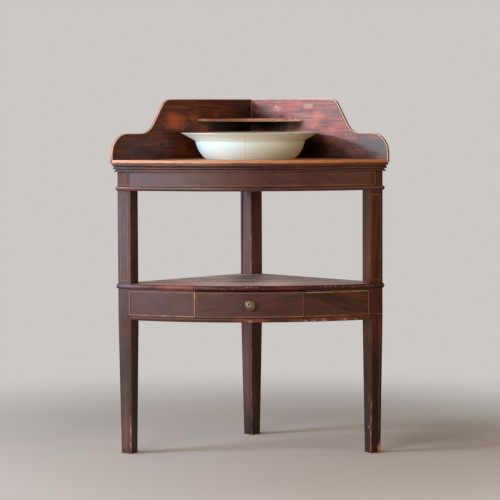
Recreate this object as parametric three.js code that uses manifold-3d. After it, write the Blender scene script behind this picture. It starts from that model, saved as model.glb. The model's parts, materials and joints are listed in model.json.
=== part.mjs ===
// A bow-fronted corner washstand: three square legs, a gallery on the two wall sides, a top with a
// round hole that carries a wide-rimmed basin, and a lower shelf with one drawer under it.
//
// Everything is drawn first in a corner frame. Its origin is the outer wall corner on the floor, the
// two walls run from it towards -Y at 45 degrees, and the bowed front faces -Y. A place by a wall is
// given as the distance along the wall and the distance in from it. A place by a front leg is given
// across the leg's face from its inner arris, and back from that face. Right-hand pieces are drawn,
// and left-hand ones are their mirror images. The last lines move the origin under the middle.

import * as THREE from 'three';
import { mergeVertices } from 'three/addons/utils/BufferGeometryUtils.js';
import Module from 'manifold-3d';

const wasm = await Module();
wasm.setup();

// Clearances, in millimetres like every size below
const fit = 0.3;                    // between pieces that touch
const wallSetback = 1;              // from the wall faces to the rails and the lower shelf
const overrun = 20;                 // how far a cutter runs past what it cuts

// Bowed front
const bowRadius = 774.5;
const bowFront = 498.8;             // wall corner to the middle of the bow
const bowSteps = 13;                // facets from the middle of the bow to a front leg

// Legs
const frontLegClearance = 0.545;    // from the wall face to the rear outer arris of a front leg
const frontLegSize = 42.6;
const frontLegFoot = 33.5;
const backLegSize = 46.4;
const backLegFoot = 34.8;

// Heights, from the floor up
const apronBottom = 388;
const apronRailThickness = 11.5;
const drawerOpeningHeight = 79;
const shelfThickness = 13.5;
const bayHeight = 267.8;
const friezeHeight = 78.2;
const boardThickness = 9;
const galleryHeight = 183.5;        // top of the carcase to the top of the gallery

// Frieze, rails and their joints
const friezeThickness = 20;
const railThickness = 20;
const panelThickness = 20;
const apronRailDepth = 45;
const tenonThickness = 8;
const tenonLength = 14;
const tenonShoulder = 7;            // above, below and in front of a tenon
const apronTenonHeight = 6;
const apronTenonSetback = 1;        // behind the bead along the apron rail

// Beads and mouldings
const beadHeight = 12;
const beadProjection = 4;
const mouldingHeight = 24.5;
const mouldingProjection = 12;
const mouldingFilletHeight = 6;     // the flat band at the top of the moulding
const mouldingBeadHeight = 6;
const mouldingBeadSetback = 2.5;
const mouldingGrooveHeight = 4;
const mouldingGrooveSetback = 8;
const mouldingFootSetback = 5.2;
const nosingFlat = 1.25;            // from the shelf to where the nosing starts to round
const nosingOverlap = 1.5;          // past the outer side of a front leg
const apronBeadProjection = 1.5;
const apronBeadDepth = 6;
const roundSteps = 6;               // facets of a half round

// Top board
const boardOverhang = 12;

// Gallery
const galleryThickness = 8;
const galleryProud = 1.1;           // past the end of the top board
const earHeight = 84.5;             // low end of the gallery above the carcase
const earRadius = 60;
const coveRadius = 55;
const shoulderRadius = 36;
const earFlat = 52.8;               // level part between the ear's round and the cove
const galleryLean = THREE.MathUtils.degToRad(56.7);
const arcSteps = 9;
const nailRadius = 1.3;
const nailHeadRadius = 2.8;
const nailHeadThickness = 1.2;
const nailLength = 26;
const nailSides = 8;
const nailShares = [0.25, 0.58, 0.9];

// Soap shelf
const soapShelfRise = 116.5;        // its underside above the carcase
const soapShelfThickness = 9;
const soapShelfReach = 232.5;       // along the wall, from the corner to its front edge
const soapShelfBow = 22;
const soapShelfHousing = 3;

// Drawer
const drawerWidth = 310;
const drawerRearRoom = 17;          // from its rear corners to the rails on the walls
const drawerGap = 0.8;              // round the drawer front
const drawerTopGap = 3;
const drawerFrontThickness = 18;
const drawerSideThickness = 10;
const drawerSideDrop = 6;           // sides below the top edge of the front
const drawerBackThickness = 9;
const drawerBackDrop = 5;
const drawerBottomThickness = 5;
const drawerBottomRise = 8;
const drawerGrooveDepth = 4;
const tailCount = 3;
const tailLength = 11;
const tailRoot = 11;
const tailTip = 15;

// Drawer bearers
const runnerWidth = 32;
const guideWidth = 10;
const guideHeight = 14;
const kickerWidth = 14;
const kickerSetback = 60;           // from the bow to the front end of a kicker
const stopWidth = 24;
const stopDepth = 14;
const stopHeight = 4.5;
const stopPlace = 70;               // from the middle of the drawer to a stop
const blockLength = 45;
const blockSize = 18;
const upperBlockShares = [0.42, 0.72];
const lowerBlockShares = [0.8];
const upperBlockPlace = 175;
const lowerBlockPlace = 250;

// Knob
const knobRise = 1.6;               // above the middle of the drawer front
const knobRadius = 15;
const knobLength = 23;
const knobRoseRadius = 8;
const knobRoseThickness = 2;
const knobNeckRadius = 4.6;
const knobNeckLength = 12;
const knobRimThickness = 2.6;
const knobDishDepth = 1.2;
const knobBossRadius = 5.5;
const knobSides = 28;
const screwRadius = 1.8;
const screwReach = 9;               // into the knob
const screwHeadRadius = 4.2;
const screwHeadThickness = 2.4;
const screwSides = 12;

// Basin
const basinHeight = 98.6;
const basinDrop = 21.3;             // the foot below the upper face of the board
const basinFromGallery = 4.632;     // rim to the gallery boards
const basinPastBow = 0.7;           // front of the rim past the middle of the bow
const basinRimWidth = 38.1;         // flared rim outside the bowl
const basinFloorRadius = 74.2;
const basinBowlHeight = 92;         // height at which the bowl's wall would stand upright
const basinFlangeHeight = 74.5;     // where the rim flares out of the bowl
const basinFootRadius = 97;
const basinFootWidth = 7;
const basinFootHeight = 4;
const basinWall = 5;
const basinLip = 3;
const basinWallSteps = 9;
const basinSides = 48;

const wallRoot = Math.SQRT1_2;      // a wall at 45 degrees, along X or Y

// Heights that follow
const openingBottom = apronBottom + apronRailThickness;
const shelfBottom = openingBottom + drawerOpeningHeight;
const shelfTop = shelfBottom + shelfThickness;
const friezeBottom = shelfTop + bayHeight;
const carcaseTop = friezeBottom + friezeHeight;
const boardBottom = carcaseTop + fit;
const boardTop = boardBottom + boardThickness;
const galleryTop = carcaseTop + galleryHeight;

// The basin fills the board from the two gallery boards to the front
const basinRoom = bowFront + basinPastBow - (galleryThickness + basinFromGallery) / wallRoot;
const basinRimRadius = basinRoom / (1 + 1 / wallRoot);
const basinBowlRadius = basinRimRadius - basinRimWidth;
const basinFromCorner = bowFront + basinPastBow - basinRimRadius;

// Places that follow
const bowCentre = bowRadius - bowFront;
const halfLegAngle = frontLegSize / 2 / bowRadius;
const outerAngle = frontLegAngle();
const legTurn = outerAngle - halfLegAngle;
const innerAngle = 2 * legTurn - outerAngle;

// Directions of a right-hand front leg: across its face, and back from it
const across = new THREE.Vector2(Math.cos(legTurn), Math.sin(legTurn));
const back = new THREE.Vector2(-Math.sin(legTurn), Math.cos(legTurn));
const outerArris = bowPoint(0, outerAngle);
const innerArris = outerArris.clone().addScaledVector(across, -frontLegSize);

// Finishes
const mahogany = { color: '#4a2722', roughness: 0.42, metalness: 0 };
const redMahogany = { color: '#5a2a20', roughness: 0.4, metalness: 0 };
const wornMahogany = { color: '#7a4228', roughness: 0.5, metalness: 0 };
const secondaryWood = { color: '#9a7448', roughness: 0.75, metalness: 0 };
const agedBrass = { color: '#7d6a3c', roughness: 0.45, metalness: 0.9 };
const iron = { color: '#4b4744', roughness: 0.6, metalness: 0.8 };
const earthenware = { color: '#dde0d6', roughness: 0.15, metalness: 0 };

// Plan places

// Angle on the bow of a front leg's outer arris, such that the leg just clears the wall behind it
function frontLegAngle() {
  const straight = bowRadius - frontLegSize * Math.cos(halfLegAngle);
  const aside = frontLegSize * Math.sin(halfLegAngle);
  const reach = (bowCentre * wallRoot + frontLegClearance) / Math.hypot(straight, aside);
  return Math.acos(reach) - Math.atan2(aside, straight) - Math.PI / 4;
}

function bowPoint(offset, angle) {
  const radius = bowRadius + offset;
  return new THREE.Vector2(radius * Math.sin(angle), bowCentre - radius * Math.cos(angle));
}

function wallPoint(along, inward) {
  return new THREE.Vector2((along - inward) * wallRoot, -(along + inward) * wallRoot);
}

function legPoint(acrossFace, behindFace) {
  return innerArris.clone().addScaledVector(across, acrossFace).addScaledVector(back, behindFace);
}

// Where the bow, moved out by offset, meets the line at a set distance across a front leg
function bowAtLeg(offset, acrossFace) {
  const start = legPoint(acrossFace, 0);
  const fromCentre = start.clone().sub(new THREE.Vector2(0, bowCentre));
  const along = fromCentre.dot(back);
  const radius = bowRadius + offset;
  const behind = -along - Math.sqrt(along ** 2 - fromCentre.lengthSq() + radius ** 2);
  return start.addScaledVector(back, behind);
}

// Where that line across a leg, or the line behind its face, reaches a distance in from the wall
function meetWall(start, direction, inward) {
  const reach = -(start.x + start.y) * wallRoot;
  const rate = -(direction.x + direction.y) * wallRoot;
  return start.clone().addScaledVector(direction, (inward - reach) / rate);
}

function mirroredPoints(points) {
  return points.map((point) => new THREE.Vector2(-point.x, point.y)).reverse();
}

function bowAngle(point) {
  return Math.atan2(point.x, bowCentre - point.y);
}

// Facets of the bow between two ends, cut at the same angles whatever the offset
function bowSpan(offset, start, end) {
  const facet = innerAngle / bowSteps;
  const points = [start];
  for (let step = -bowSteps; step <= bowSteps; step += 1) {
    const clearOfEnds = Math.min(facet * step - bowAngle(start), bowAngle(end) - facet * step);
    if (clearOfEnds > facet / 4) points.push(bowPoint(offset, facet * step));
  }
  points.push(end);
  return points;
}

function bowLine(offset, end) {
  return bowSpan(offset, mirroredPoints([end])[0], end);
}

// The bow across both leg fronts, with the points that follow the right-hand one
function bowPastLegs(offset, rightPoints) {
  const outer = [bowPoint(offset, outerAngle), ...rightPoints];
  return [...mirroredPoints(outer), ...bowLine(offset, bowPoint(offset, innerAngle)), ...outer];
}

function bowAtX(offset, x) {
  return bowPoint(offset, Math.asin(x / (bowRadius + offset)));
}

function wallAtX(inward, x) {
  return new THREE.Vector2(x, -x - inward / wallRoot);
}

// Solids

function closedGeometry(positions, indices) {
  let volume = 0;
  for (let face = 0; face < indices.length; face += 3) {
    const [a, b, c] = [0, 1, 2].map((corner) => positions[indices[face + corner]]);
    volume += a.dot(b.clone().cross(c));
  }
  const order = volume < 0 ? indices.slice().reverse() : indices;
  const geometry = new THREE.BufferGeometry();
  geometry.setFromPoints(positions);
  geometry.setIndex(order);
  return geometry;
}

// Skin over rings of equal count, closed by flat caps that are cut up as capOutline shows
function loft(rings, capOutline) {
  const count = capOutline.length;
  const positions = rings.flat();
  const indices = [];
  for (let ring = 0; ring + 1 < rings.length; ring += 1) {
    for (let point = 0; point < count; point += 1) {
      const near = ring * count;
      const next = (point + 1) % count;
      indices.push(near + point, near + next, near + count + next);
      indices.push(near + point, near + count + next, near + count + point);
    }
  }
  const last = (rings.length - 1) * count;
  const turnsLeft = !THREE.ShapeUtils.isClockWise(capOutline);
  const outline = turnsLeft ? capOutline : capOutline.slice().reverse();
  const numbered = (index) => (turnsLeft ? index : count - 1 - index);
  for (const triangle of THREE.ShapeUtils.triangulateShape(outline, [])) {
    const [a, b, c] = triangle.map(numbered);
    const flip = turnsLeft ? [c, b, a] : [a, b, c];
    indices.push(...flip);
    indices.push(...flip.slice().reverse().map((index) => last + index));
  }
  return closedGeometry(positions, indices);
}

function prism(outline, bottom, top) {
  const shape = new THREE.Shape(outline);
  const geometry = new THREE.ExtrudeGeometry(shape, { depth: top - bottom, bevelEnabled: false });
  return geometry.translate(0, 0, bottom);
}

// A section of (offset, height) points, carried along the plan line that path gives for an offset
function sweep(section, path) {
  const lines = section.map((point) => path(point.x));
  const rings = lines[0].map((_, station) => section.map((point, index) => {
    const place = lines[index][station];
    return new THREE.Vector3(place.x, place.y, point.y);
  }));
  return loft(rings, section);
}

function legBlock(acrossRange, behindRange, bottom, top) {
  const [left, right] = acrossRange;
  const [front, rear] = behindRange;
  const outline = [legPoint(left, front), legPoint(right, front)];
  outline.push(legPoint(right, rear), legPoint(left, rear));
  return prism(outline, bottom, top);
}

function wallBlock(alongRange, inwardRange, bottom, top) {
  const [start, end] = alongRange;
  const [near, far] = inwardRange;
  const outline = [wallPoint(start, near), wallPoint(end, near)];
  outline.push(wallPoint(end, far), wallPoint(start, far));
  return prism(outline, bottom, top);
}

function block(xRange, yRange, zRange) {
  const [left, right] = xRange;
  const [front, rear] = yRange;
  const outline = [new THREE.Vector2(left, front), new THREE.Vector2(right, front)];
  outline.push(new THREE.Vector2(right, rear), new THREE.Vector2(left, rear));
  return prism(outline, zRange[0], zRange[1]);
}

// An outline of (along the wall, height) points, as thick as inwardRange says
function wallBoard(shape, inwardRange) {
  const [near, far] = inwardRange;
  const options = { depth: far - near, bevelEnabled: false, curveSegments: arcSteps };
  const geometry = new THREE.ExtrudeGeometry(shape, options);
  const along = new THREE.Vector3(wallRoot, -wallRoot, 0);
  const up = new THREE.Vector3(0, 0, 1);
  const inward = new THREE.Vector3(-wallRoot, -wallRoot, 0);
  geometry.translate(0, 0, near);
  return geometry.applyMatrix4(new THREE.Matrix4().makeBasis(along, up, inward));
}

// Shared corners merged and faces turned outwards
function sealed(geometry) {
  const bare = geometry.clone();
  bare.deleteAttribute('normal');
  bare.deleteAttribute('uv');
  const merged = mergeVertices(bare);
  const place = merged.getAttribute('position');
  const points = [];
  for (let index = 0; index < place.count; index += 1) {
    points.push(new THREE.Vector3().fromBufferAttribute(place, index));
  }
  const corners = Array.from(merged.getIndex().array);
  const indices = [];
  for (let face = 0; face < corners.length; face += 3) {
    const triangle = corners.slice(face, face + 3);
    if (new Set(triangle).size === 3) indices.push(...triangle);
  }
  return closedGeometry(points, indices);
}

function mirrored(geometry) {
  return sealed(geometry.clone().scale(-1, 1, 1));
}

// A profile of (radius, height) points turned round the upright axis
function turned(profile, sides) {
  return sealed(new THREE.LatheGeometry(profile, sides)).rotateX(Math.PI / 2);
}

// An outline of (Y, Z) points, from left to right
function sideways(outline, left, right) {
  const shape = new THREE.Shape(outline);
  const geometry = new THREE.ExtrudeGeometry(shape, { depth: right - left, bevelEnabled: false });
  const basis = new THREE.Matrix4();
  basis.makeBasis(new THREE.Vector3(0, 1, 0), new THREE.Vector3(0, 0, 1), new THREE.Vector3(1, 0, 0));
  return geometry.translate(0, 0, left).applyMatrix4(basis);
}

// Boolean cuts and joins

function toSolid(geometry) {
  const closed = sealed(geometry);
  const vertProperties = Float32Array.from(closed.getAttribute('position').array);
  const triVerts = Uint32Array.from(closed.getIndex().array);
  return new wasm.Manifold(new wasm.Mesh({ numProp: 3, vertProperties, triVerts }));
}

function toGeometry(solid) {
  const mesh = solid.getMesh();
  const geometry = new THREE.BufferGeometry();
  geometry.setAttribute('position', new THREE.BufferAttribute(mesh.vertProperties, 3));
  geometry.setIndex(new THREE.BufferAttribute(mesh.triVerts, 1));
  return geometry;
}

function joined(geometries) {
  return toGeometry(geometries.map(toSolid).reduce((sum, solid) => sum.add(solid)));
}

function cut(geometry, cutters) {
  return toGeometry(cutters.map(toSolid).reduce((rest, tool) => rest.subtract(tool), toSolid(geometry)));
}

// Tenons: each function gives the tenon itself, or with a clearance the mortise that takes it

function friezeTenon(room) {
  const behind = [tenonShoulder - room, tenonShoulder + tenonThickness + room];
  const bottom = friezeBottom + tenonShoulder - room;
  return legBlock([-friezeThickness, tenonLength + room], behind, bottom, carcaseTop - tenonShoulder + room);
}

function panelTenon(room) {
  const behind = [tenonShoulder - room, tenonShoulder + tenonThickness + room];
  const bottom = openingBottom + tenonShoulder - room;
  return legBlock([-panelThickness, tenonLength + room], behind, bottom, shelfBottom - tenonShoulder + room);
}

function apronRailTenon(room) {
  const shoulder = (apronRailThickness - apronTenonHeight) / 2;
  const front = apronBeadDepth + apronTenonSetback;
  const behind = [front - room, frontLegSize - tenonShoulder - tenonLength + room];
  const bottom = apronBottom + shoulder - room;
  return legBlock([-overrun, tenonLength + room], behind, bottom, bottom + apronTenonHeight + 2 * room);
}

function wallTenonInward(room) {
  const near = wallSetback + tenonShoulder;
  return [near - room, near + tenonThickness + room];
}

function frontWallTenon(bottom, top, room) {
  const [near, far] = wallTenonInward(room);
  const face = meetWall(legPoint(0, frontLegSize), across, (near + far) / 2);
  const along = (face.x - face.y) * wallRoot;
  const range = [along - overrun, along + tenonLength + room];
  return wallBlock(range, [near, far], bottom + tenonShoulder - room, top - tenonShoulder + room);
}

function backWallTenon(bottom, top, room) {
  const range = [backLegSize - tenonLength - room, backLegSize + overrun];
  return wallBlock(range, wallTenonInward(room), bottom + tenonShoulder - room, top - tenonShoulder + room);
}

// Legs

function squareRing(centre, size, first, second, height) {
  const corners = [[-1, -1], [1, -1], [1, 1], [-1, 1]];
  return corners.map(([a, b]) => {
    const place = centre.clone().addScaledVector(first, a * size / 2).addScaledVector(second, b * size / 2);
    return new THREE.Vector3(place.x, place.y, height);
  });
}

function leg(centre, size, foot, first, second) {
  const rings = [squareRing(centre, foot, first, second, 0)];
  rings.push(squareRing(centre, size, first, second, apronBottom));
  rings.push(squareRing(centre, size, first, second, carcaseTop));
  return loft(rings, rings[0].map((point) => new THREE.Vector2(point.x, point.y)));
}

const upperRail = { bottom: friezeBottom, top: carcaseTop };
const lowerRail = { bottom: openingBottom + fit, top: shelfBottom };

function frontLeg() {
  const centre = legPoint(frontLegSize / 2, frontLegSize / 2);
  const post = leg(centre, frontLegSize, frontLegFoot, across, back);
  const mortises = [friezeTenon(fit), panelTenon(fit), apronRailTenon(fit)];
  mortises.push(frontWallTenon(upperRail.bottom, upperRail.top, fit));
  mortises.push(frontWallTenon(lowerRail.bottom, lowerRail.top, fit));
  return cut(post, mortises);
}

function backLeg() {
  const along = new THREE.Vector2(wallRoot, -wallRoot);
  const inward = new THREE.Vector2(-wallRoot, -wallRoot);
  const centre = wallPoint(backLegSize / 2, backLegSize / 2);
  const post = leg(centre, backLegSize, backLegFoot, along, inward);
  const mortises = [];
  for (const rail of [upperRail, lowerRail]) {
    const mortise = backWallTenon(rail.bottom, rail.top, fit);
    mortises.push(mortise, mirrored(mortise));
  }
  return cut(post, mortises);
}

// Rails on the wall sides

function wallRail({ bottom, top }) {
  const near = wallSetback;
  const far = wallSetback + railThickness;
  const legBack = legPoint(0, frontLegSize + fit);
  const outline = [wallPoint(backLegSize + fit, near), meetWall(legBack, across, near)];
  outline.push(meetWall(legBack, across, far), wallPoint(backLegSize + fit, far));
  const tenons = [frontWallTenon(bottom, top, 0), backWallTenon(bottom, top, 0)];
  return joined([prism(outline, bottom, top), ...tenons]);
}

// Bowed boards between the front legs

function bowedBoard(offsets, rightEnds, bottom, top) {
  const [front, rear] = offsets;
  const [frontEnd, rearEnd] = rightEnds;
  const outline = [...bowLine(front, frontEnd), ...bowLine(rear, rearEnd).reverse()];
  return prism(outline, bottom, top);
}

function legToLegBoard(front, rear, bottom, top) {
  return bowedBoard([front, rear], [bowAtLeg(front, -fit), bowAtLeg(rear, -fit)], bottom, top);
}

function frieze() {
  const board = legToLegBoard(0, -friezeThickness, friezeBottom, carcaseTop);
  return joined([board, friezeTenon(0), mirrored(friezeTenon(0))]);
}

// Mouldings that cross the leg fronts and return along their outer sides to the wall

function wrapLine(offset) {
  const corner = bowAtLeg(offset, frontLegSize + offset);
  const wallEnd = meetWall(legPoint(frontLegSize + offset, 0), back, fit);
  return bowPastLegs(offset, [corner, wallEnd]);
}

function halfRound(base, projection, bottom, top) {
  const points = [];
  for (let step = 0; step <= roundSteps; step += 1) {
    const angle = Math.PI * (step / roundSteps - 1 / 2);
    const height = (bottom + top) / 2 + Math.sin(angle) * (top - bottom) / 2;
    points.push(new THREE.Vector2(base + Math.cos(angle) * projection, height));
  }
  return points;
}

function friezeBead() {
  const top = friezeBottom + beadHeight;
  const round = halfRound(fit + beadProjection / 3, beadProjection * 2 / 3, friezeBottom, top);
  const section = [new THREE.Vector2(fit, friezeBottom), ...round, new THREE.Vector2(fit, top)];
  return sweep(section, wrapLine);
}

function topMoulding() {
  const face = mouldingProjection;
  const bottom = carcaseTop - mouldingHeight;
  const filletFoot = carcaseTop - mouldingFilletHeight;
  const grooveTop = bottom + 2 * mouldingGrooveHeight;
  const beadTop = grooveTop + mouldingBeadHeight;
  const footFace = face - mouldingFootSetback;
  const beadFace = face - mouldingBeadSetback;
  const section = [new THREE.Vector2(fit, carcaseTop), new THREE.Vector2(fit, bottom)];
  section.push(new THREE.Vector2(footFace, bottom));
  section.push(new THREE.Vector2(footFace, bottom + mouldingGrooveHeight));
  section.push(new THREE.Vector2(face - mouldingGrooveSetback, bottom + mouldingGrooveHeight));
  section.push(new THREE.Vector2(face - mouldingGrooveSetback, grooveTop));
  section.push(...halfRound(footFace, beadFace - footFace, grooveTop, beadTop));
  section.push(new THREE.Vector2(beadFace, filletFoot));
  section.push(new THREE.Vector2(face, filletFoot), new THREE.Vector2(face, carcaseTop));
  return sweep(section, wrapLine);
}

// Top board

function basinOuterRadius(height) {
  const share = (basinBowlHeight - height) / basinBowlHeight;
  return basinFloorRadius + (basinBowlRadius - basinFloorRadius) * Math.sqrt(1 - share ** 2);
}

const boardInward = galleryThickness + fit;

// Where the board's overhanging front edge runs out at the gallery
function boardEnd() {
  const reach = bowRadius + boardOverhang;
  const shift = bowCentre + boardInward / wallRoot;
  const x = (Math.sqrt(2 * reach ** 2 - shift ** 2) - shift) / 2;
  return wallAtX(boardInward, x);
}

const galleryLength = (boardEnd().x - boardEnd().y) * wallRoot + galleryProud;

function basinHole() {
  const radius = (basinOuterRadius(basinDrop) + fit) / Math.cos(Math.PI / basinSides);
  const hole = new THREE.CylinderGeometry(radius, radius, boardThickness + 2 * overrun, basinSides);
  return hole.rotateX(Math.PI / 2).translate(0, -basinFromCorner, (boardBottom + boardTop) / 2);
}

function basinBoard() {
  const outline = bowPastLegs(boardOverhang, [boardEnd()]);
  outline.push(wallPoint(boardInward, boardInward));
  return cut(prism(outline, boardBottom, boardTop), [basinHole(), ...galleryNailList(fit)]);
}

// Gallery

function galleryShape(start) {
  const earTop = carcaseTop + earHeight;
  const roundRadii = coveRadius + shoulderRadius;
  const straightRise = galleryTop - earTop - roundRadii * (1 - Math.cos(galleryLean));
  const coveFoot = galleryLength - earRadius - earFlat;
  const flatEnd = coveFoot - roundRadii * Math.sin(galleryLean) - straightRise / Math.tan(galleryLean);
  const quarter = Math.PI / 2;
  const shape = new THREE.Shape();
  shape.moveTo(start, boardBottom);
  shape.lineTo(galleryLength, boardBottom);
  shape.absarc(galleryLength - earRadius, earTop - earRadius, earRadius, 0, quarter, false);
  shape.absarc(coveFoot, earTop + coveRadius, coveRadius, -quarter, -quarter - galleryLean, true);
  const shoulder = galleryTop - shoulderRadius;
  shape.absarc(flatEnd, shoulder, shoulderRadius, quarter - galleryLean, quarter, false);
  shape.lineTo(start, galleryTop);
  return shape;
}

function gallery(start) {
  const board = wallBoard(galleryShape(start), [0, galleryThickness]);
  return cut(board, [soapShelf(fit), ...galleryNailList(fit)]);
}

// A round nail driven inwards from the outer face of the right-hand gallery board
function galleryNail(along, room) {
  const shank = nailRadius + room;
  const head = nailHeadRadius + room;
  const profile = [new THREE.Vector2(0, room ? -overrun : 0), new THREE.Vector2(head, room ? -overrun : 0)];
  profile.push(new THREE.Vector2(head, nailHeadThickness + room));
  profile.push(new THREE.Vector2(shank, nailHeadThickness + room));
  profile.push(new THREE.Vector2(shank, nailLength + room), new THREE.Vector2(0, nailLength + room));
  const nail = sealed(new THREE.LatheGeometry(profile, nailSides));
  nail.rotateZ(-Math.PI / 2).rotateZ(-Math.PI * 3 / 4);
  const place = wallPoint(along, 0);
  return nail.translate(place.x, place.y, (boardBottom + boardTop) / 2);
}

function galleryNailList(room) {
  const right = nailShares.map((share) => galleryNail(share * galleryLength, room));
  return [...right, ...right.map(mirrored)];
}

// Soap shelf, housed in both gallery boards

function soapShelf(room) {
  const inward = galleryThickness - soapShelfHousing - room;
  const corner = wallPoint(soapShelfReach + room, inward);
  const radius = (corner.x ** 2 + soapShelfBow ** 2) / (2 * soapShelfBow);
  const half = Math.asin(corner.x / radius);
  const centre = corner.y + radius * Math.cos(half);
  const outline = [wallPoint(inward, inward)];
  for (let step = -arcSteps; step <= arcSteps; step += 1) {
    const angle = half * step / arcSteps;
    outline.push(new THREE.Vector2(radius * Math.sin(angle), centre - radius * Math.cos(angle)));
  }
  const bottom = carcaseTop + soapShelfRise;
  return prism(outline, bottom - room, bottom + soapShelfThickness + room);
}

// Lower shelf

function lowerShelf() {
  const notch = backLegSize + fit;
  const behindLeg = legPoint(-fit, frontLegSize + fit);
  const right = [behindLeg, meetWall(behindLeg, across, wallSetback), wallPoint(notch, wallSetback)];
  const outline = [...mirroredPoints(right), ...bowLine(0, bowAtLeg(0, -fit)), ...right];
  outline.push(wallPoint(notch, notch));
  return prism(outline, shelfBottom + fit, shelfTop);
}

function shelfNosing() {
  const section = [new THREE.Vector2(fit, shelfBottom + fit)];
  section.push(...halfRound(nosingFlat, shelfThickness / 2, shelfBottom + fit, shelfTop));
  section.push(new THREE.Vector2(fit, shelfTop));
  return sweep(section, (offset) => bowPastLegs(offset, [bowAtLeg(offset, frontLegSize + nosingOverlap)]));
}

// Apron: false fronts beside the drawer, the rail under it and the bead along the rail

function apronPanel() {
  const start = drawerWidth / 2 + drawerGap;
  const front = bowSpan(0, bowAtX(0, start), bowAtLeg(0, -fit));
  const rearEnd = bowAtLeg(-panelThickness, -fit);
  const rear = bowSpan(-panelThickness, bowAtX(-panelThickness, start), rearEnd);
  const board = prism([...front, ...rear.reverse()], openingBottom + fit, shelfBottom);
  return joined([board, panelTenon(0)]);
}

function apronRail() {
  const board = legToLegBoard(-apronBeadDepth, -apronRailDepth, apronBottom, openingBottom);
  return joined([board, apronRailTenon(0), mirrored(apronRailTenon(0))]);
}

function apronBead() {
  const radius = apronRailThickness / 2;
  const rear = fit - apronBeadDepth;
  const section = [new THREE.Vector2(rear, apronBottom)];
  section.push(...halfRound(apronBeadProjection - radius / 2, radius / 2, apronBottom, openingBottom));
  section.push(new THREE.Vector2(rear, openingBottom));
  return sweep(section, (offset) => bowLine(offset, bowAtLeg(offset, -fit)));
}

// Strips from the front to a wall rail, beside and under the drawer

function bearer(xRange, frontOffset, inward, zRange) {
  const [left, right] = xRange;
  const outline = [bowAtX(frontOffset, left), bowAtX(frontOffset, right)];
  outline.push(wallAtX(inward, right), wallAtX(inward, left));
  return prism(outline, zRange[0], zRange[1]);
}

const guideOuter = drawerWidth / 2 + drawerGap + guideWidth;
const railInner = wallSetback + railThickness + fit;

function drawerRunner() {
  const range = [guideOuter - runnerWidth, guideOuter];
  return bearer(range, -apronRailDepth - fit, wallSetback, [apronBottom, openingBottom]);
}

function drawerGuide() {
  const bottom = openingBottom + fit;
  const range = [guideOuter - guideWidth, guideOuter];
  return bearer(range, -panelThickness - fit, railInner, [bottom, bottom + guideHeight]);
}

function drawerKicker() {
  const range = [drawerWidth / 2 - kickerWidth, drawerWidth / 2];
  return bearer(range, -kickerSetback, railInner, [sideTop + drawerGap, shelfBottom]);
}

function bowedBlock(xRange, offsets, zRange) {
  const [left, right] = xRange;
  const outline = [bowAtX(offsets[0], left), bowAtX(offsets[0], right)];
  outline.push(bowAtX(offsets[1], right), bowAtX(offsets[1], left));
  return prism(outline, zRange[0], zRange[1]);
}

function drawerStop() {
  const range = [stopPlace - stopWidth / 2, stopPlace + stopWidth / 2];
  const front = -drawerFrontThickness - fit;
  const bottom = openingBottom + fit;
  return bowedBlock(range, [front, front - stopDepth], [bottom, bottom + stopHeight]);
}

function glueBlocks(shares, frontPlace, frontFace, top) {
  const blocks = shares.map((share) => {
    const start = share * galleryLength - blockLength / 2;
    const inward = [railInner, railInner + blockSize];
    return wallBlock([start, start + blockLength], inward, top - blockSize, top);
  });
  const range = [frontPlace - blockLength / 2, frontPlace + blockLength / 2];
  blocks.push(bowedBlock(range, [frontFace, frontFace - blockSize], [top - blockSize, top]));
  return blocks;
}

// Drawer

const frontBottom = openingBottom + drawerGap;
const frontTop = shelfBottom - drawerTopGap;
const sideTop = frontTop - drawerSideDrop;
const bottomFloor = frontBottom + drawerBottomRise;
const backFoot = bottomFloor + drawerBottomThickness + fit;
const sideOuter = drawerWidth / 2;
const sideInner = sideOuter - drawerSideThickness;
const boxRear = -sideOuter - (railInner - fit + drawerRearRoom) / wallRoot;
const backInner = boxRear - drawerBackThickness;
const sideFront = bowAtX(-drawerFrontThickness, sideOuter).y + fit;
const knobHeight = (frontBottom + frontTop) / 2 + knobRise;

// Dovetails between a right-hand side and the front, or the back, whose face is at root
function tails(root, tip, bottom, top, room) {
  const pitch = (top - bottom) / tailCount;
  const inside = root - Math.sign(tip - root) * drawerSideThickness;
  const shapes = [];
  for (let tail = 0; tail < tailCount; tail += 1) {
    const middle = bottom + pitch * (tail + 1 / 2);
    const [narrow, wide] = [tailRoot / 2 + room, tailTip / 2 + room];
    const end = tip + Math.sign(tip - root) * room;
    const places = [[inside, -narrow], [root, -narrow], [end, -wide]];
    places.push([end, wide], [root, narrow], [inside, narrow]);
    const outline = places.map(([y, z]) => new THREE.Vector2(y, middle + z));
    const outer = room ? sideOuter + overrun : sideOuter;
    shapes.push(sideways(outline, sideInner - room, outer));
  }
  return shapes;
}

function frontTails(room) {
  const face = bowAtX(-drawerFrontThickness, (sideInner + sideOuter) / 2).y;
  return tails(face, face - tailLength, frontBottom, sideTop, room);
}

function backTails(room) {
  return tails(backInner, boxRear, backFoot, sideTop - drawerBackDrop, room);
}

function grooveHeights(room) {
  return [bottomFloor - room, bottomFloor + drawerBottomThickness + room];
}

function drawerFront() {
  const front = bowLine(0, bowAtX(0, sideOuter));
  const rear = bowLine(-drawerFrontThickness, bowAtX(-drawerFrontThickness, sideOuter));
  const board = prism([...front, ...rear.reverse()], frontBottom, frontTop);
  const sockets = frontTails(fit);
  const reach = drawerFrontThickness + overrun;
  const [floor, roof] = grooveHeights(fit);
  const groove = [...bowLine(-drawerFrontThickness + drawerGrooveDepth, bowAtX(0, sideInner))];
  groove.push(...bowLine(-reach, bowAtX(-reach, sideInner)).reverse());
  return cut(board, [...sockets, ...sockets.map(mirrored), prism(groove, floor, roof), knobScrew(fit)]);
}

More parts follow.
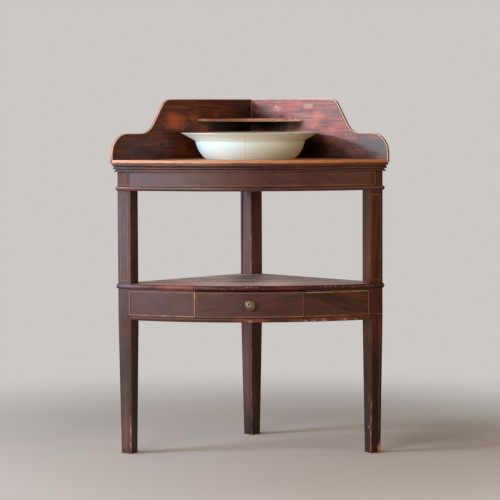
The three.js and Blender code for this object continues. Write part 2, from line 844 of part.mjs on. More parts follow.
function drawerSide() {
  const frontFace = -drawerFrontThickness - fit;
  const outline = [bowAtX(frontFace, sideInner), bowAtX(frontFace, sideOuter)];
  outline.push(new THREE.Vector2(sideOuter, backInner - fit), new THREE.Vector2(sideInner, backInner - fit));
  const body = prism(outline, frontBottom, sideTop);
  const heel = block([sideInner, sideOuter], [backInner - overrun, boxRear], [frontBottom, backFoot - fit]);
  const whole = joined([body, heel, ...frontTails(0), ...backTails(0)]);
  const grooveX = [sideInner - overrun, sideInner + drawerGrooveDepth];
  return cut(whole, [block(grooveX, [sideFront, boxRear + overrun], grooveHeights(fit))]);
}

function drawerBack() {
  const heights = [backFoot, sideTop - drawerBackDrop];
  const board = block([-sideOuter, sideOuter], [backInner, boxRear], heights);
  const sockets = backTails(fit);
  return cut(board, [...sockets, ...sockets.map(mirrored)]);
}

function drawerBottom() {
  const edge = -drawerFrontThickness + drawerGrooveDepth - fit;
  const tongue = sideInner - fit;
  const wing = sideInner + drawerGrooveDepth - fit;
  const right = [new THREE.Vector2(tongue, sideFront + fit), new THREE.Vector2(wing, sideFront + fit)];
  right.push(new THREE.Vector2(wing, boxRear));
  const outline = [...mirroredPoints(right), ...bowLine(edge, bowAtX(edge, tongue)), ...right];
  return prism(outline, ...grooveHeights(0));
}

// Knob and the screw that holds it, drawn outwards from the face of the drawer front

function facingFront(geometry) {
  return geometry.rotateX(Math.PI).translate(0, -bowFront, knobHeight);
}

function knobScrew(room) {
  const inner = -drawerFrontThickness - fit;
  const shank = screwRadius + room;
  const head = screwHeadRadius + room;
  const rear = room ? inner - overrun : inner - screwHeadThickness;
  const profile = [new THREE.Vector2(0, rear), new THREE.Vector2(head, rear)];
  profile.push(new THREE.Vector2(head, inner + room), new THREE.Vector2(shank, inner + room));
  profile.push(new THREE.Vector2(shank, screwReach + room), new THREE.Vector2(0, screwReach + room));
  return facingFront(sealed(new THREE.LatheGeometry(profile, screwSides)));
}

function drawerKnob() {
  const tip = fit + knobLength;
  const rimBack = tip - knobRimThickness;
  const flat = knobRadius - knobRimThickness;
  const places = [[0, fit], [knobRoseRadius, fit], [knobRoseRadius, fit + knobRoseThickness]];
  places.push([knobNeckRadius, fit + 2 * knobRoseThickness], [knobNeckRadius, knobNeckLength]);
  places.push([knobRadius, rimBack], [knobRadius, tip - knobDishDepth], [flat, tip - knobDishDepth / 2]);
  places.push([flat, tip - 2 * knobDishDepth], [knobBossRadius, tip - knobDishDepth], [0, tip]);
  const profile = places.map(([radius, height]) => new THREE.Vector2(radius, height));
  const knob = facingFront(sealed(new THREE.LatheGeometry(profile, knobSides)));
  return cut(knob, [knobScrew(fit)]);
}

// Basin: a bowl whose wall is a quarter ellipse, on a foot ring, with a wide flared rim

function basinWallPoint(inset, floor, angle) {
  const radius = basinFloorRadius + (basinBowlRadius - basinFloorRadius - inset) * Math.cos(angle);
  return new THREE.Vector2(radius, basinBowlHeight - (basinBowlHeight - floor) * Math.sin(angle));
}

function basinWallCurve(inset, floor, start) {
  const end = Math.asin((basinBowlHeight - basinFlangeHeight) / basinBowlHeight);
  const points = [];
  for (let step = 0; step <= basinWallSteps; step += 1) {
    const angle = start + (end - start) * step / basinWallSteps;
    points.push(basinWallPoint(inset, floor, angle));
  }
  return points;
}

function basin() {
  const footAngle = Math.acos((basinFootRadius - basinFloorRadius) / (basinBowlRadius - basinFloorRadius));
  const outer = basinWallCurve(0, 0, footAngle);
  const floor = basinFootHeight + basinWall;
  const inner = basinWallCurve(basinWall, floor, Math.PI / 2).reverse();
  const footInner = basinFootRadius - basinFootWidth;
  const profile = [new THREE.Vector2(0, basinFootHeight), new THREE.Vector2(footInner, basinFootHeight)];
  profile.push(new THREE.Vector2(footInner, 0), new THREE.Vector2(basinFootRadius, 0), ...outer);
  profile.push(new THREE.Vector2(basinRimRadius, basinHeight - basinLip));
  profile.push(new THREE.Vector2(basinRimRadius, basinHeight));
  profile.push(new THREE.Vector2(basinRimRadius - basinLip, basinHeight));
  profile.push(...inner, new THREE.Vector2(0, floor));
  const bowl = turned(profile, basinSides);
  return bowl.rotateZ(Math.PI / basinSides).translate(0, -basinFromCorner, boardTop - basinDrop);
}

// Assembly

function piece(name, geometry, finish) {
  const closed = sealed(geometry);
  const mesh = new THREE.Mesh(closed, new THREE.MeshStandardMaterial({ ...finish, flatShading: true }));
  mesh.name = name;
  return mesh;
}

function addBothSides(group, name, right, left, finish) {
  group.add(piece(`right_${name}`, right, finish), piece(`left_${name}`, left, finish));
}

// Right-hand pieces and their mirror images, numbered where there are several
function addPairs(group, name, rightList, finish) {
  rightList.forEach((right, index) => {
    const number = rightList.length > 1 ? `_${index + 1}` : '';
    addBothSides(group, name + number, right, mirrored(right), finish);
  });
}

const stand = new THREE.Group();
stand.add(piece('back_leg', backLeg(), mahogany));
addPairs(stand, 'front_leg', [frontLeg()], mahogany);
stand.add(piece('frieze', frieze(), mahogany));
stand.add(piece('frieze_bead', friezeBead(), mahogany));
stand.add(piece('top_moulding', topMoulding(), mahogany));
addPairs(stand, 'upper_rail', [wallRail(upperRail)], mahogany);
addPairs(stand, 'lower_rail', [wallRail(lowerRail)], mahogany);
const upperBlocks = glueBlocks(upperBlockShares, upperBlockPlace, -friezeThickness - fit, carcaseTop);
addPairs(stand, 'upper_block', upperBlocks, secondaryWood);
stand.add(piece('basin_board', basinBoard(), wornMahogany));
addBothSides(stand, 'gallery', gallery(galleryThickness + fit), mirrored(gallery(0)), redMahogany);
addPairs(stand, 'gallery_nail', nailShares.map((share) => galleryNail(share * galleryLength, 0)), iron);
stand.add(piece('soap_shelf', soapShelf(0), wornMahogany));
stand.add(piece('lower_shelf', lowerShelf(), mahogany));
stand.add(piece('shelf_nosing', shelfNosing(), redMahogany));
addPairs(stand, 'apron_panel', [apronPanel()], redMahogany);
stand.add(piece('apron_rail', apronRail(), mahogany));
stand.add(piece('apron_bead', apronBead(), redMahogany));
const lowerBlocks = glueBlocks(lowerBlockShares, lowerBlockPlace, -panelThickness - fit, shelfBottom);
addPairs(stand, 'lower_block', lowerBlocks, secondaryWood);
addPairs(stand, 'drawer_runner', [drawerRunner()], secondaryWood);
addPairs(stand, 'drawer_guide', [drawerGuide()], secondaryWood);
addPairs(stand, 'drawer_kicker', [drawerKicker()], secondaryWood);
addPairs(stand, 'drawer_stop', [drawerStop()], secondaryWood);

const drawer = new THREE.Group();
drawer.add(piece('drawer_front', drawerFront(), redMahogany));
addPairs(drawer, 'drawer_side', [drawerSide()], secondaryWood);
drawer.add(piece('drawer_back', drawerBack(), secondaryWood));
drawer.add(piece('drawer_bottom', drawerBottom(), secondaryWood));
drawer.add(piece('drawer_knob', drawerKnob(), agedBrass));
drawer.add(piece('knob_screw', knobScrew(0), iron));
stand.add(drawer);
stand.add(piece('basin', basin(), earthenware));

// The origin moves from the wall corner to the floor under the middle of the whole stand
const overallDepth = bowFront + fit + knobLength;
stand.position.y = overallDepth / 2;

const washstand = new THREE.Group();
washstand.add(stand);

export default washstand;
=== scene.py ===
"""Looks of a bow-fronted corner washstand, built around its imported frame.

The frame gives every solid its place. The operators below give the solids their finishes, put
finer pieces where the solids are plain (basin, knob, soap shelf), lay the inlaid strings, and set
the stage.
Lengths are metres, in the frame's own axes: X to the right, Y to the wall corner, Z up.
"""

import json
import math

import bmesh
import bpy
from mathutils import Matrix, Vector, noise

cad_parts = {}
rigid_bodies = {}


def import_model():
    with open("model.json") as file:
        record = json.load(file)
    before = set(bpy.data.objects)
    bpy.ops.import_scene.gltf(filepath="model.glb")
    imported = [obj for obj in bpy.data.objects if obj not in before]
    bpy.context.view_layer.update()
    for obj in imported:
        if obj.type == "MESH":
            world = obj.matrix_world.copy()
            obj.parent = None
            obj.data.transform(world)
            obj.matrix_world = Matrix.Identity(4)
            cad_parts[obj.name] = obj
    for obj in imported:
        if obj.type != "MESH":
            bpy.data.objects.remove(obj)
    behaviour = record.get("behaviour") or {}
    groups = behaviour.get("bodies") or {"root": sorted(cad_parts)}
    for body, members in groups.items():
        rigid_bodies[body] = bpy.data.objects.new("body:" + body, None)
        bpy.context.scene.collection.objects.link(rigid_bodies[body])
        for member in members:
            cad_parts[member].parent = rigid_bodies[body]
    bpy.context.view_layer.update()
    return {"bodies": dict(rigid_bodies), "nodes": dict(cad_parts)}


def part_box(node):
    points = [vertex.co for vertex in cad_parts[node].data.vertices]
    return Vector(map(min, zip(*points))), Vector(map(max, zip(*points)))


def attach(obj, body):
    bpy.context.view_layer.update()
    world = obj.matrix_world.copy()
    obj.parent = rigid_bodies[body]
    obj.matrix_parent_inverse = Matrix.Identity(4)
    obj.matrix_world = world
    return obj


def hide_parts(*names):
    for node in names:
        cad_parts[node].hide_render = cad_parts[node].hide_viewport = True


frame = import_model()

bl_info = {
    "name": "Corner washstand",
    "version": (1, 0, 0),
    "blender": (4, 5, 0),
    "location": "3D View > Sidebar > Washstand",
    "description": "Finishes, inlay and fine pieces of a bow-fronted corner washstand",
    "category": "Object",
}

MM = 0.001
ARRIS_ANGLE = math.radians(35.0)    # an edge folded by more than this is an arris


def linear(code):
    """An sRGB hex code as linear red, green, blue and alpha."""
    shares = [int(code[start:start + 2], 16) / 255 for start in (1, 3, 5)]
    curve = [s / 12.92 if s <= 0.04045 else ((s + 0.055) / 1.055) ** 2.4 for s in shares]
    return (*curve, 1.0)


def length_property(name, description, millimetres):
    return bpy.props.FloatProperty(
        name=name, description=description, default=millimetres * MM, min=0.0,
        precision=5, subtype="DISTANCE", unit="LENGTH")


def colour_property(name, description, code):
    return bpy.props.FloatVectorProperty(
        name=name, description=description, default=linear(code), size=4, min=0.0, max=1.0,
        subtype="COLOR")


class WashstandSizes(bpy.types.PropertyGroup):
    """Sizes of what is added to the frame."""
    bow_radius: length_property("Bow radius", "Radius of the bowed front in plan", 774.5)
    leg_width: length_property("Leg width", "Side of a front leg above its taper", 42.6)
    leg_foot_width: length_property("Foot width", "Side of a front leg at the floor", 33.5)
    arris: length_property("Arris", "Rounding of the handled edges", 0.9)
    fine_arris: length_property("Fine arris", "Rounding of beads and small mouldings", 0.3)
    gallery_arris: length_property("Gallery arris", "Rounding of the gallery's rubbed edge", 1.6)
    wide_string: length_property("Wide string", "Width of the strings round the apron panels", 2.2)
    fine_string: length_property("Fine string", "Width of the other inlaid strings", 1.4)
    string_proud: length_property("String relief", "How far a string stands off the wood", 0.12)
    frieze_string_rise: length_property(
        "Frieze string", "Lower string above the frieze's foot", 15.8)
    frieze_string_end: length_property("Frieze string end", "Past the inner arris of a leg", 17.7)
    apron_string_drop: length_property("Apron upper string", "Below the top of the apron", 7.0)
    apron_string_rise: length_property("Apron lower string", "Above the foot of the apron", 4.2)
    panel_string_left: length_property("Left panel string", "Onto the left leg's face", 5.5)
    drawer_string_inset: length_property("Drawer string inset", "In from the drawer's ends", 4.0)
    leg_string_outer: length_property("Leg string, outer", "In from the outer arris", 8.0)
    leg_string_left: length_property("Left leg string", "In from the inner arris", 10.0)
    leg_string_right: length_property("Right leg string", "In from the inner arris", 5.0)
    leg_string_gap: length_property("Leg string gap", "From the bay's top and shelf", 11.5)
    shelf_edge: length_property("Shelf edge", "Rounding of the soap shelf's worn edge", 4.2)
    shelf_raggedness: length_property("Shelf raggedness", "Depth of the soap shelf's wear", 0.8)
    basin_floor: length_property("Basin floor", "Radius where the bowl turns flat", 74.2)
    basin_bowl: length_property("Basin bowl", "Radius where the bowl would stand upright", 161.4)
    basin_bowl_height: length_property("Basin bowl height", "Height of that radius", 92.0)
    basin_flange: length_property("Basin flange height", "Where the rim flares out", 74.5)
    basin_foot: length_property("Basin foot", "Radius of the foot ring", 97.0)
    basin_wall: length_property("Basin wall", "Thickness of the bowl", 5.0)
    basin_rim: length_property("Basin rim", "Radius of the rim", 199.0)
    basin_lip: length_property("Basin lip", "Thickness of the rim's edge", 3.4)
    knob_radius: length_property("Knob radius", "Radius of the knob's face", 15.0)
    knob_relief: length_property("Knob relief", "Depth of the stamped flower", 1.4)
    pin_radius: length_property("Pin radius", "Radius of the pin beside the knob", 2.1)
    pin_aside: length_property("Pin aside", "From the middle of the front to the pin", 27.6)
    pin_height: length_property("Pin height", "From the floor to the pin", 438.0)


class WashstandColours(bpy.types.PropertyGroup):
    """Colours of the finishes."""
    # Also the colour of painted shade and shadow on the galleries, of the right gallery's painted
    # dark edges and of the back leg's painted reflection on the lower shelf
    mahogany_dark: colour_property("Mahogany, dark", "Dark growth in the mahogany, also painted shade", "#23100a")
    mahogany_dusk: colour_property("Mahogany, dusk", "Darker figure of the fronts", "#391a12")
    # Blackens the back leg's foot, and is the colour of the painted shadow under the soap shelf and
    # beside the knob
    black_stain_and_shadow: colour_property("Mahogany, blackened", "Black foot, and painted shadow under the shelf and by the knob", "#17110f")
    mahogany: colour_property("Mahogany", "Body colour of the polished mahogany", "#4a2317")
    mahogany_plum: colour_property("Mahogany, plum", "Body colour of the fronts", "#4b2721")
    # Painted sheen: the blue-grey that daylight from the left lays on left-facing polish
    painted_sheen: colour_property("Polish, painted sheen", "Blue-grey sheen of daylight from the left, painted", "#726670")
    mahogany_red: colour_property("Mahogany, red", "Red figure in the mahogany", "#70301e")
    gallery_dark: colour_property("Gallery, dark", "Dark growth in the left gallery", "#36160b")
    gallery_body: colour_property("Gallery, body", "Body colour of the left gallery", "#4c1f0f")
    # Also lays one painted pool of light low beside the basin
    gallery_glow: colour_property("Gallery, glow", "Faded patches of the left gallery, and a painted pool of light", "#b8591f")
    rubbed_body: colour_property("Rubbed gallery", "Thin polish of the right gallery", "#a05449")
    rubbed_plum: colour_property("Rubbed gallery, plum", "Older polish left in places", "#71514e")
    rubbed_salmon: colour_property("Rubbed gallery, salmon", "Thinnest polish in places", "#c96f5b")
    rubbed_pale: colour_property("Rubbed gallery, pale", "Scuffs through the polish", "#dcb2a2")
    # Painted sheen at the right gallery's end
    rubbed_sheen: colour_property("Rubbed gallery, painted sheen", "Painted blue-grey sheen at the end", "#585153")
    arris_pale: colour_property("Rubbed arris, pale", "Bare arris of the gallery", "#f4d6c4")
    mahogany_bare: colour_property("Mahogany, bare edge", "Front edge of the board", "#dca98a")
    mahogany_raw: colour_property("Mahogany, raw", "Bare wood of worn edges", "#d2935f")
    mahogany_oiled: colour_property("Mahogany, oiled", "Bare wood gone brown", "#b56c3a")
    # Partly wear and partly painted sheen: paler than scoured wood alone, for the glancing sheen
    # off the shelf top
    shelf_wear_and_sheen: colour_property("Shelf, worn", "Scoured top of the lower shelf, with painted sheen", "#c2aa9d")
    boxwood: colour_property("Boxwood", "Inlaid strings", "#c39a55")
    boxwood_old: colour_property("Boxwood, old", "Strings under old polish", "#8f6c40")
    boxwood_grey: colour_property("Boxwood, grey", "Strings under bloomed polish", "#8f7769")
    boxwood_dirty: colour_property("Boxwood, dirty", "Strings under dirt", "#5c3a22")
    deal: colour_property("Pine", "Drawer linings and bearers", "#a88251")
    deal_dark: colour_property("Pine, dark", "Dirt and late growth in the pine", "#6d4c2b")
    creamware: colour_property("Glaze", "Glazed body of the basin", "#d7edec")
    # Real stains in blotches, and painted warm light on the flange
    creamware_warm: colour_property("Glaze, warm", "Stained and crazed glaze, and painted warm light on the flange", "#eee6c6")
    creamware_worn: colour_property("Glaze, worn", "Bare stained body on the rim", "#93663f")
    crack_dirt: colour_property("Crack", "Dirt in the hairline crack", "#8d8470")
    brass: colour_property("Brass", "Rubbed brass", "#cdbfa2")
    brass_dark: colour_property("Brass, dark", "Tarnish in the hollows", "#2b2117")
    iron: colour_property("Iron", "Nails and screws", "#4b4744")
    rust: colour_property("Rust", "Rust on the iron", "#5f3a25")
    floor: colour_property("Floor", "Plain floor", "#b9aea4")
    backdrop: colour_property("Backdrop", "Plain backdrop", "#cbc8c5")


# Nodes


def wire(tree, kind, inputs=None, out=0, **settings):
    """Adds a node with its settings, and its inputs as values or links, and gives one output."""
    node = tree.nodes.new(kind)
    for setting, value in settings.items():
        setattr(node, setting, value)
    for key, value in (inputs or {}).items():
        if isinstance(value, bpy.types.NodeSocket):
            tree.links.new(value, node.inputs[key])
        else:
            node.inputs[key].default_value = value
    return node.outputs[out] if len(node.outputs) else None


# Shapes


def place_on_bow(angle, offset=0.0):
    """A plan point on the bowed front, at an angle from its middle and an offset in front of it."""
    radius = bpy.context.scene.washstand_sizes.bow_radius
    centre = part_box("frieze")[0].y + radius
    return Vector((
        (radius + offset) * math.sin(angle), centre - (radius + offset) * math.cos(angle), 0.0))


def on_front(aside, height, offset=0.0):
    """A point of the bowed front, from its distance to the side and its height."""
    radius = bpy.context.scene.washstand_sizes.bow_radius
    point = place_on_bow(math.asin(aside / radius), offset)
    point.z = height
    return point


def leg_axes(side):
    """Plan directions across a front leg's face and back from it, and its inner arris in plan."""
    width = bpy.context.scene.washstand_sizes.leg_width
    low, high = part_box("right_front_leg")
    turn = math.asin(((high.x - low.x) / width) ** 2 - 1) / 2
    across = Vector((side * math.cos(turn), math.sin(turn), 0.0))
    back = Vector((-side * math.sin(turn), math.cos(turn), 0.0))
    return across, back, Vector((side * (low.x + width * math.sin(turn)), low.y, 0.0))


def leg_narrowing(height):
    """How far each side of a tapered front leg has drawn in at a height."""
    sizes = bpy.context.scene.washstand_sizes
    share = max(0.0, 1.0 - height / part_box("apron_rail")[0].z)
    return (sizes.leg_width - sizes.leg_foot_width) / 2 * share


def new_piece(name, shape, materials, body, smooth_angle=None):
    """An object from a bmesh, finished and riding on a body of the frame."""
    mesh = bpy.data.meshes.new(name)
    shape.to_mesh(mesh)
    shape.free()
    for material in materials:
        mesh.materials.append(material)
    piece = bpy.data.objects.new(name, mesh)
    bpy.context.scene.collection.objects.link(piece)
    if smooth_angle is not None:
        mesh.shade_smooth()
        mesh.set_sharp_from_angle(angle=math.radians(smooth_angle))
    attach(piece, body)
    return piece


def add_bar(shape, stations):
    """A closed bar through stations of four corners each."""
    rings = [[shape.verts.new(corner) for corner in corners] for corners in stations]
    for near, far in zip(rings, rings[1:]):
        for index in range(4):
            after = (index + 1) % 4
            shape.faces.new((near[index], near[after], far[after], far[index]))
    shape.faces.new(rings[0][::-1])
    shape.faces.new(rings[-1])


def add_bow_string(shape, start_x, end_x, bottom, top):
    """A string inlaid in the bow between two distances from its middle and two heights."""
    sizes = bpy.context.scene.washstand_sizes
    proud, sunk = sizes.string_proud, -4 * sizes.string_proud
    start, end = (math.asin(x / sizes.bow_radius) for x in (start_x, end_x))
    steps = max(2, round((end - start) * sizes.bow_radius / (8 * MM)))
    stations = []
    for step in range(steps + 1):
        angle = start + (end - start) * step / steps
        outer, inner = place_on_bow(angle, proud), place_on_bow(angle, sunk)
        stations.append([
            (outer.x, outer.y, bottom), (outer.x, outer.y, top),
            (inner.x, inner.y, top), (inner.x, inner.y, bottom)])
    add_bar(shape, stations)


def add_bow_level(shape, start_x, end_x, height, width):
    """A level string along the bow."""
    add_bow_string(shape, start_x, end_x, height - width / 2, height + width / 2)


def add_bow_upright(shape, middle_x, width, bottom, top):
    """A short upright string on the bow."""
    add_bow_string(shape, middle_x - width / 2, middle_x + width / 2, bottom, top)


def add_leg_string(shape, side, ends, width):
    """A string on a front leg's face between two (across the face, height) ends."""
    sizes = bpy.context.scene.washstand_sizes
    across, back, arris = leg_axes(side)
    proud, sunk = -sizes.string_proud, 4 * sizes.string_proud
    upright = abs(ends[1][1] - ends[0][1]) > abs(ends[1][0] - ends[0][0])
    spread = (width / 2, 0.0) if upright else (0.0, width / 2)
    stations = []
    for aside, height in ends:
        front = leg_narrowing(height)
        corners = []
        for sign, depth in ((-1, proud), (1, proud), (1, sunk), (-1, sunk)):
            corner = arris + across * (aside + sign * spread[0]) + back * (front + depth)
            corner.z = height + sign * spread[1]
            corners.append(corner)
        stations.append(corners)
    add_bar(shape, stations)


def turned_shape(profile, sides, middle, axis="Z"):
    """A profile of (radius, height) points turned round an upright axis, or one to the front."""
    shape = bmesh.new()
    rings = []
    for radius, height in profile:
        ring = []
        for side in range(sides if radius > 0 else 1):
            turn = 2 * math.pi * side / sides
            flat = (radius * math.cos(turn), radius * math.sin(turn))
            local = (*flat, height) if axis == "Z" else (flat[0], -height, flat[1])
            ring.append(shape.verts.new(middle + Vector(local)))
        rings.append(ring)
    for near, far in zip(rings, rings[1:]):
        for side in range(sides):
            after = (side + 1) % sides
            corners = [near[side % len(near)], near[after % len(near)]]
            corners += [far[after % len(far)], far[side % len(far)]]
            shape.faces.new(list(dict.fromkeys(corners)))
    bmesh.ops.recalc_face_normals(shape, faces=shape.faces)
    return shape


def arrises_in_sight(name, above, hidden):
    """A modifier tree that marks the arrises above a height for rounding, but for a hidden band."""
    tree = bpy.data.node_groups.new(name, "GeometryNodeTree")
    for way in ("INPUT", "OUTPUT"):
        tree.interface.new_socket("Geometry", in_out=way, socket_type="NodeSocketGeometry")
    solid = wire(tree, "NodeGroupInput")
    fold = wire(tree, "GeometryNodeInputMeshEdgeAngle")
    place = wire(tree, "GeometryNodeInputPosition")
    height = wire(tree, "ShaderNodeSeparateXYZ", {"Vector": place}, out=2)
    sharp = wire(tree, "ShaderNodeMath", {0: fold, 1: ARRIS_ANGLE}, operation="GREATER_THAN")
    high = wire(tree, "ShaderNodeMath", {0: height, 1: above}, operation="GREATER_THAN")
    housed = wire(tree, "ShaderNodeMath", {
        0: height, 1: sum(hidden) / 2, 2: (hidden[1] - hidden[0]) / 2}, operation="COMPARE")
    free = wire(tree, "ShaderNodeMath", {0: 1.0, 1: housed}, operation="SUBTRACT")
    share = wire(tree, "ShaderNodeMath", {0: sharp, 1: high}, operation="MULTIPLY")
    share = wire(tree, "ShaderNodeMath", {0: share, 1: free}, operation="MULTIPLY")
    marked = wire(tree, "GeometryNodeStoreNamedAttribute", {
        "Geometry": solid, "Name": "bevel_weight_edge", "Value": share}, domain="EDGE")
    wire(tree, "NodeGroupOutput", {"Geometry": marked})
    return tree


def dress(nodes, materials, rounding, sight=None):
    """Gives solids of the frame a finish and rounds their arrises, which take the last material.

    A tree from arrises_in_sight limits the rounding to the arrises that it marks.
    """
    for name in nodes:
        piece = frame["nodes"][name]
        mesh = piece.data
        mesh.materials.clear()
        for material in materials:
            mesh.materials.append(material)
        if mesh.has_custom_normals:
            mesh.attributes.remove(mesh.attributes["custom_normal"])
        mesh.shade_smooth()
        weld = piece.modifiers.new("Joined corners", "WELD")
        weld.merge_threshold = 0.01 * MM
        flat = piece.modifiers.new("Flat faces", "DECIMATE")
        flat.decimate_type = "DISSOLVE"
        flat.angle_limit = math.radians(0.3)
        if sight is not None:
            piece.modifiers.new("Arrises in sight", "NODES").node_group = sight
        edge = piece.modifiers.new("Rounded arrises", "BEVEL")
        edge.width = rounding
        edge.segments = 2
        edge.limit_method = "ANGLE" if sight is None else "WEIGHT"
        edge.angle_limit = ARRIS_ANGLE
        edge.material = len(materials) - 1
        edge.use_clamp_overlap = False
        edge.miter_outer = "MITER_ARC"
        normals = piece.modifiers.new("Face normals", "WEIGHTED_NORMAL")
        normals.weight = 80


# Finishes


def blank_material(name):
    """A material, its emptied tree, and the place on the object in metres."""
    material = bpy.data.materials.new(name)
    material.use_nodes = True
    tree = material.node_tree
    tree.nodes.clear()
    return material, tree, wire(tree, "ShaderNodeTexCoord", out=3)


def clouds(tree, place, spans, detail, roughness=0.5, distortion=0.0, tilt=0.0):
    """A drifting field whose clouds span so many real millimetres along X, Y and Z."""
    stretched = wire(tree, "ShaderNodeMapping", {
        "Vector": place, "Rotation": (0.0, tilt, 0.0), "Scale": [span * MM for span in spans],
    }, vector_type="TEXTURE")
    return wire(tree, "ShaderNodeTexNoise", {
        "Vector": stretched, "Scale": 1.0, "Detail": detail, "Roughness": roughness,
        "Distortion": distortion})


def lay_over(tree, tone, colour, field, low, high, most=1.0, least=0.0, ramp="LINEAR"):
    """Lays a colour over a tone, thicker from least to most as a field goes from low to high."""
    share = wire(tree, "ShaderNodeMapRange", {
        "Value": field, "From Min": low, "From Max": high, "To Min": least, "To Max": most,
    }, interpolation_type=ramp)
    return wire(tree, "ShaderNodeMix", {0: share, 6: tone, 7: colour}, out=2, data_type="RGBA")


def close_material(tree, shader_inputs, height, relief):
    """Ends a material in a Principled shader, with a bump from a field of height."""
    normal = wire(tree, "ShaderNodeBump", {
        "Height": height, "Strength": 1.0, "Distance": relief})
    shader = wire(tree, "ShaderNodeBsdfPrincipled", {**shader_inputs, "Normal": normal})
    wire(tree, "ShaderNodeOutputMaterial", {"Surface": shader})


# Spans of figure, streaks and pores in millimetres along X, Y and Z. The real pores are 0.2 mm
# wide and are drawn four times as wide, so that they show.
UPRIGHT_GRAIN = ((36, 36, 210), (7, 7, 150), (0.9, 0.9, 15))
LEVEL_GRAIN = ((110, 110, 22), (110, 110, 7), (15, 15, 0.9))
FLAT_GRAIN = ((240, 34, 34), (150, 7, 7), (15, 0.9, 0.9))
GALLERY_GRAIN = ((70, 70, 16), (85, 85, 6), (15, 15, 0.9))
RUBBED_GRAIN = ((95, 95, 11), (130, 130, 5), (15, 15, 0.9))


def mahogany_tone(tree, place, tones, grain, tilt=0.0, streaks=0.55):
    """Colour and pores of mahogany: drifting figure, redder streaks and short dark pores."""
    dark, body, red = tones
    figure, streak, pore = (
        clouds(tree, place, spans, detail, 0.6, 0.25, tilt)
        for spans, detail in zip(grain, (4.0, 3.0, 1.0)))
    tone = lay_over(tree, dark, body, figure, 0.34, 0.62, ramp="SMOOTHSTEP")
    tone = lay_over(tree, tone, red, streak, 0.42, 0.7, streaks, ramp="SMOOTHSTEP")
    pores = wire(tree, "ShaderNodeMapRange", {
        "Value": pore, "From Min": 0.58, "From Max": 0.68, "To Max": 0.6,
    }, interpolation_type="SMOOTHSTEP")
    tone = wire(tree, "ShaderNodeMix", {0: pores, 6: tone, 7: dark}, out=2, data_type="RGBA")
    return tone, pores


def patch_share(tree, place, middle, radius, strength, upright=False, broken=False):
    """A soft ragged patch round a point, drawn out along the grain, as a share of 1.

    Its strength is halved at about half its radius, and its edge wanders by most of the radius.
    """
    aside = wire(tree, "ShaderNodeVectorMath", {0: place, 1: middle}, operation="SUBTRACT")
    aside = wire(tree, "ShaderNodeVectorMath", {
        0: aside, 1: (1.3, 1.3, 0.35) if upright else (0.8, 0.8, 1.5)}, operation="MULTIPLY")
    reach = wire(tree, "ShaderNodeVectorMath", {0: aside}, out=1, operation="LENGTH")
    span = radius / 1.2 / MM
    cloud = clouds(tree, place, (span, span, span * (2.5 if upright else 0.5)), 5.0, 0.7)
    ragged = wire(tree, "ShaderNodeMath", {0: cloud, 1: 1.8 * radius, 2: reach},
                  operation="MULTIPLY_ADD")
    share = wire(tree, "ShaderNodeMapRange", {
        "Value": ragged, "From Min": 1.9 * radius, "From Max": 0.9 * radius,
        "To Max": strength}, interpolation_type="SMOOTHSTEP")
    if broken:
        flecks = clouds(tree, place, (3.8462,) * 3, 3.0, 0.8)
        flecks = wire(tree, "ShaderNodeMapRange", {
            "Value": flecks, "From Min": 0.44, "From Max": 0.58})
        share = wire(tree, "ShaderNodeMath", {0: share, 1: flecks}, operation="MULTIPLY")
    return share


FLECKED_FROM = 1.2      # paler patches, by the sum of red, green and blue, break up into flecks


def polished_mahogany(
        name, tones, grain, tilt=0.0, streaks=0.55, patches=(), rubbed=None, roughness=0.42,
        shaded_below=0.0, edge=None, coat=0.25, specular=0.5):
    """Old mahogany, French polished and waxed for two centuries.

    The eye gets a deep body with a drifting figure, short dark pores along the grain, and a soft
    sheen that is duller where hands have worn the polish. A patch is a point, a radius, a colour
    and a strength; some patches are painted shade, shadow, sheen or light. Rubbed is the colour
    that wear lets through and the most of it. Below a given height the wood goes dark, as painted
    shade. A board with an edge, given as the way it faces and a colour, keeps its patches on that
    face and shows the colour on its edges.
    """
    material, tree, place = blank_material(name)
    tone, pores = mahogany_tone(tree, place, tones, grain, tilt, streaks)
    if rubbed is not None:
        colour, most = rubbed
        worn = clouds(tree, place, (110, 26, 26), 6.0, 0.7, 0.6)
        tone = lay_over(tree, tone, colour, worn, 0.36, 0.62, most, 0.25 * most)
    # Painted shade: the wood goes dark below the given height, as the lower legs fall in shade
    if shaded_below > 0.0:
        height = wire(tree, "ShaderNodeSeparateXYZ", {"Vector": place}, out=2)
        tone = lay_over(tree, tone, tones[0], height, shaded_below + 60 * MM,
                        shaded_below - 110 * MM, 0.95, ramp="SMOOTHSTEP")
    if edge is not None:
        outwards = wire(tree, "ShaderNodeTexCoord", out=1)
        turn = wire(tree, "ShaderNodeVectorMath", {0: outwards, 1: edge[0]}, out=1,
                    operation="DOT_PRODUCT")
        roomward = wire(tree, "ShaderNodeMath", {0: turn, 1: 0.5}, operation="GREATER_THAN")
    for middle, radius, colour, strength in patches:
        share = patch_share(tree, place, middle, radius, strength, grain is UPRIGHT_GRAIN,
                            sum(colour[:3]) > FLECKED_FROM)
        if edge is not None:
            share = wire(tree, "ShaderNodeMath", {0: share, 1: roomward}, operation="MULTIPLY")
        tone = wire(tree, "ShaderNodeMix", {0: share, 6: tone, 7: colour}, out=2, data_type="RGBA")
    if edge is not None:
        turn = wire(tree, "ShaderNodeMath", {0: turn}, operation="ABSOLUTE")
        tone = lay_over(tree, tone, edge[1], turn, 0.75, 0.5, 0.85)
    dull = clouds(tree, place, (71.43,) * 3, 4.0)
    gloss = wire(tree, "ShaderNodeMapRange", {
        "Value": dull, "From Min": 0.35, "From Max": 0.65,
        "To Min": roughness - 0.06, "To Max": roughness + 0.1})
    close_material(tree, {
        "Base Color": tone, "Roughness": gloss, "IOR": 1.5, "Specular IOR Level": specular,
        "Coat Weight": coat, "Coat Roughness": 0.3}, pores, -0.05 * MM)
    return material


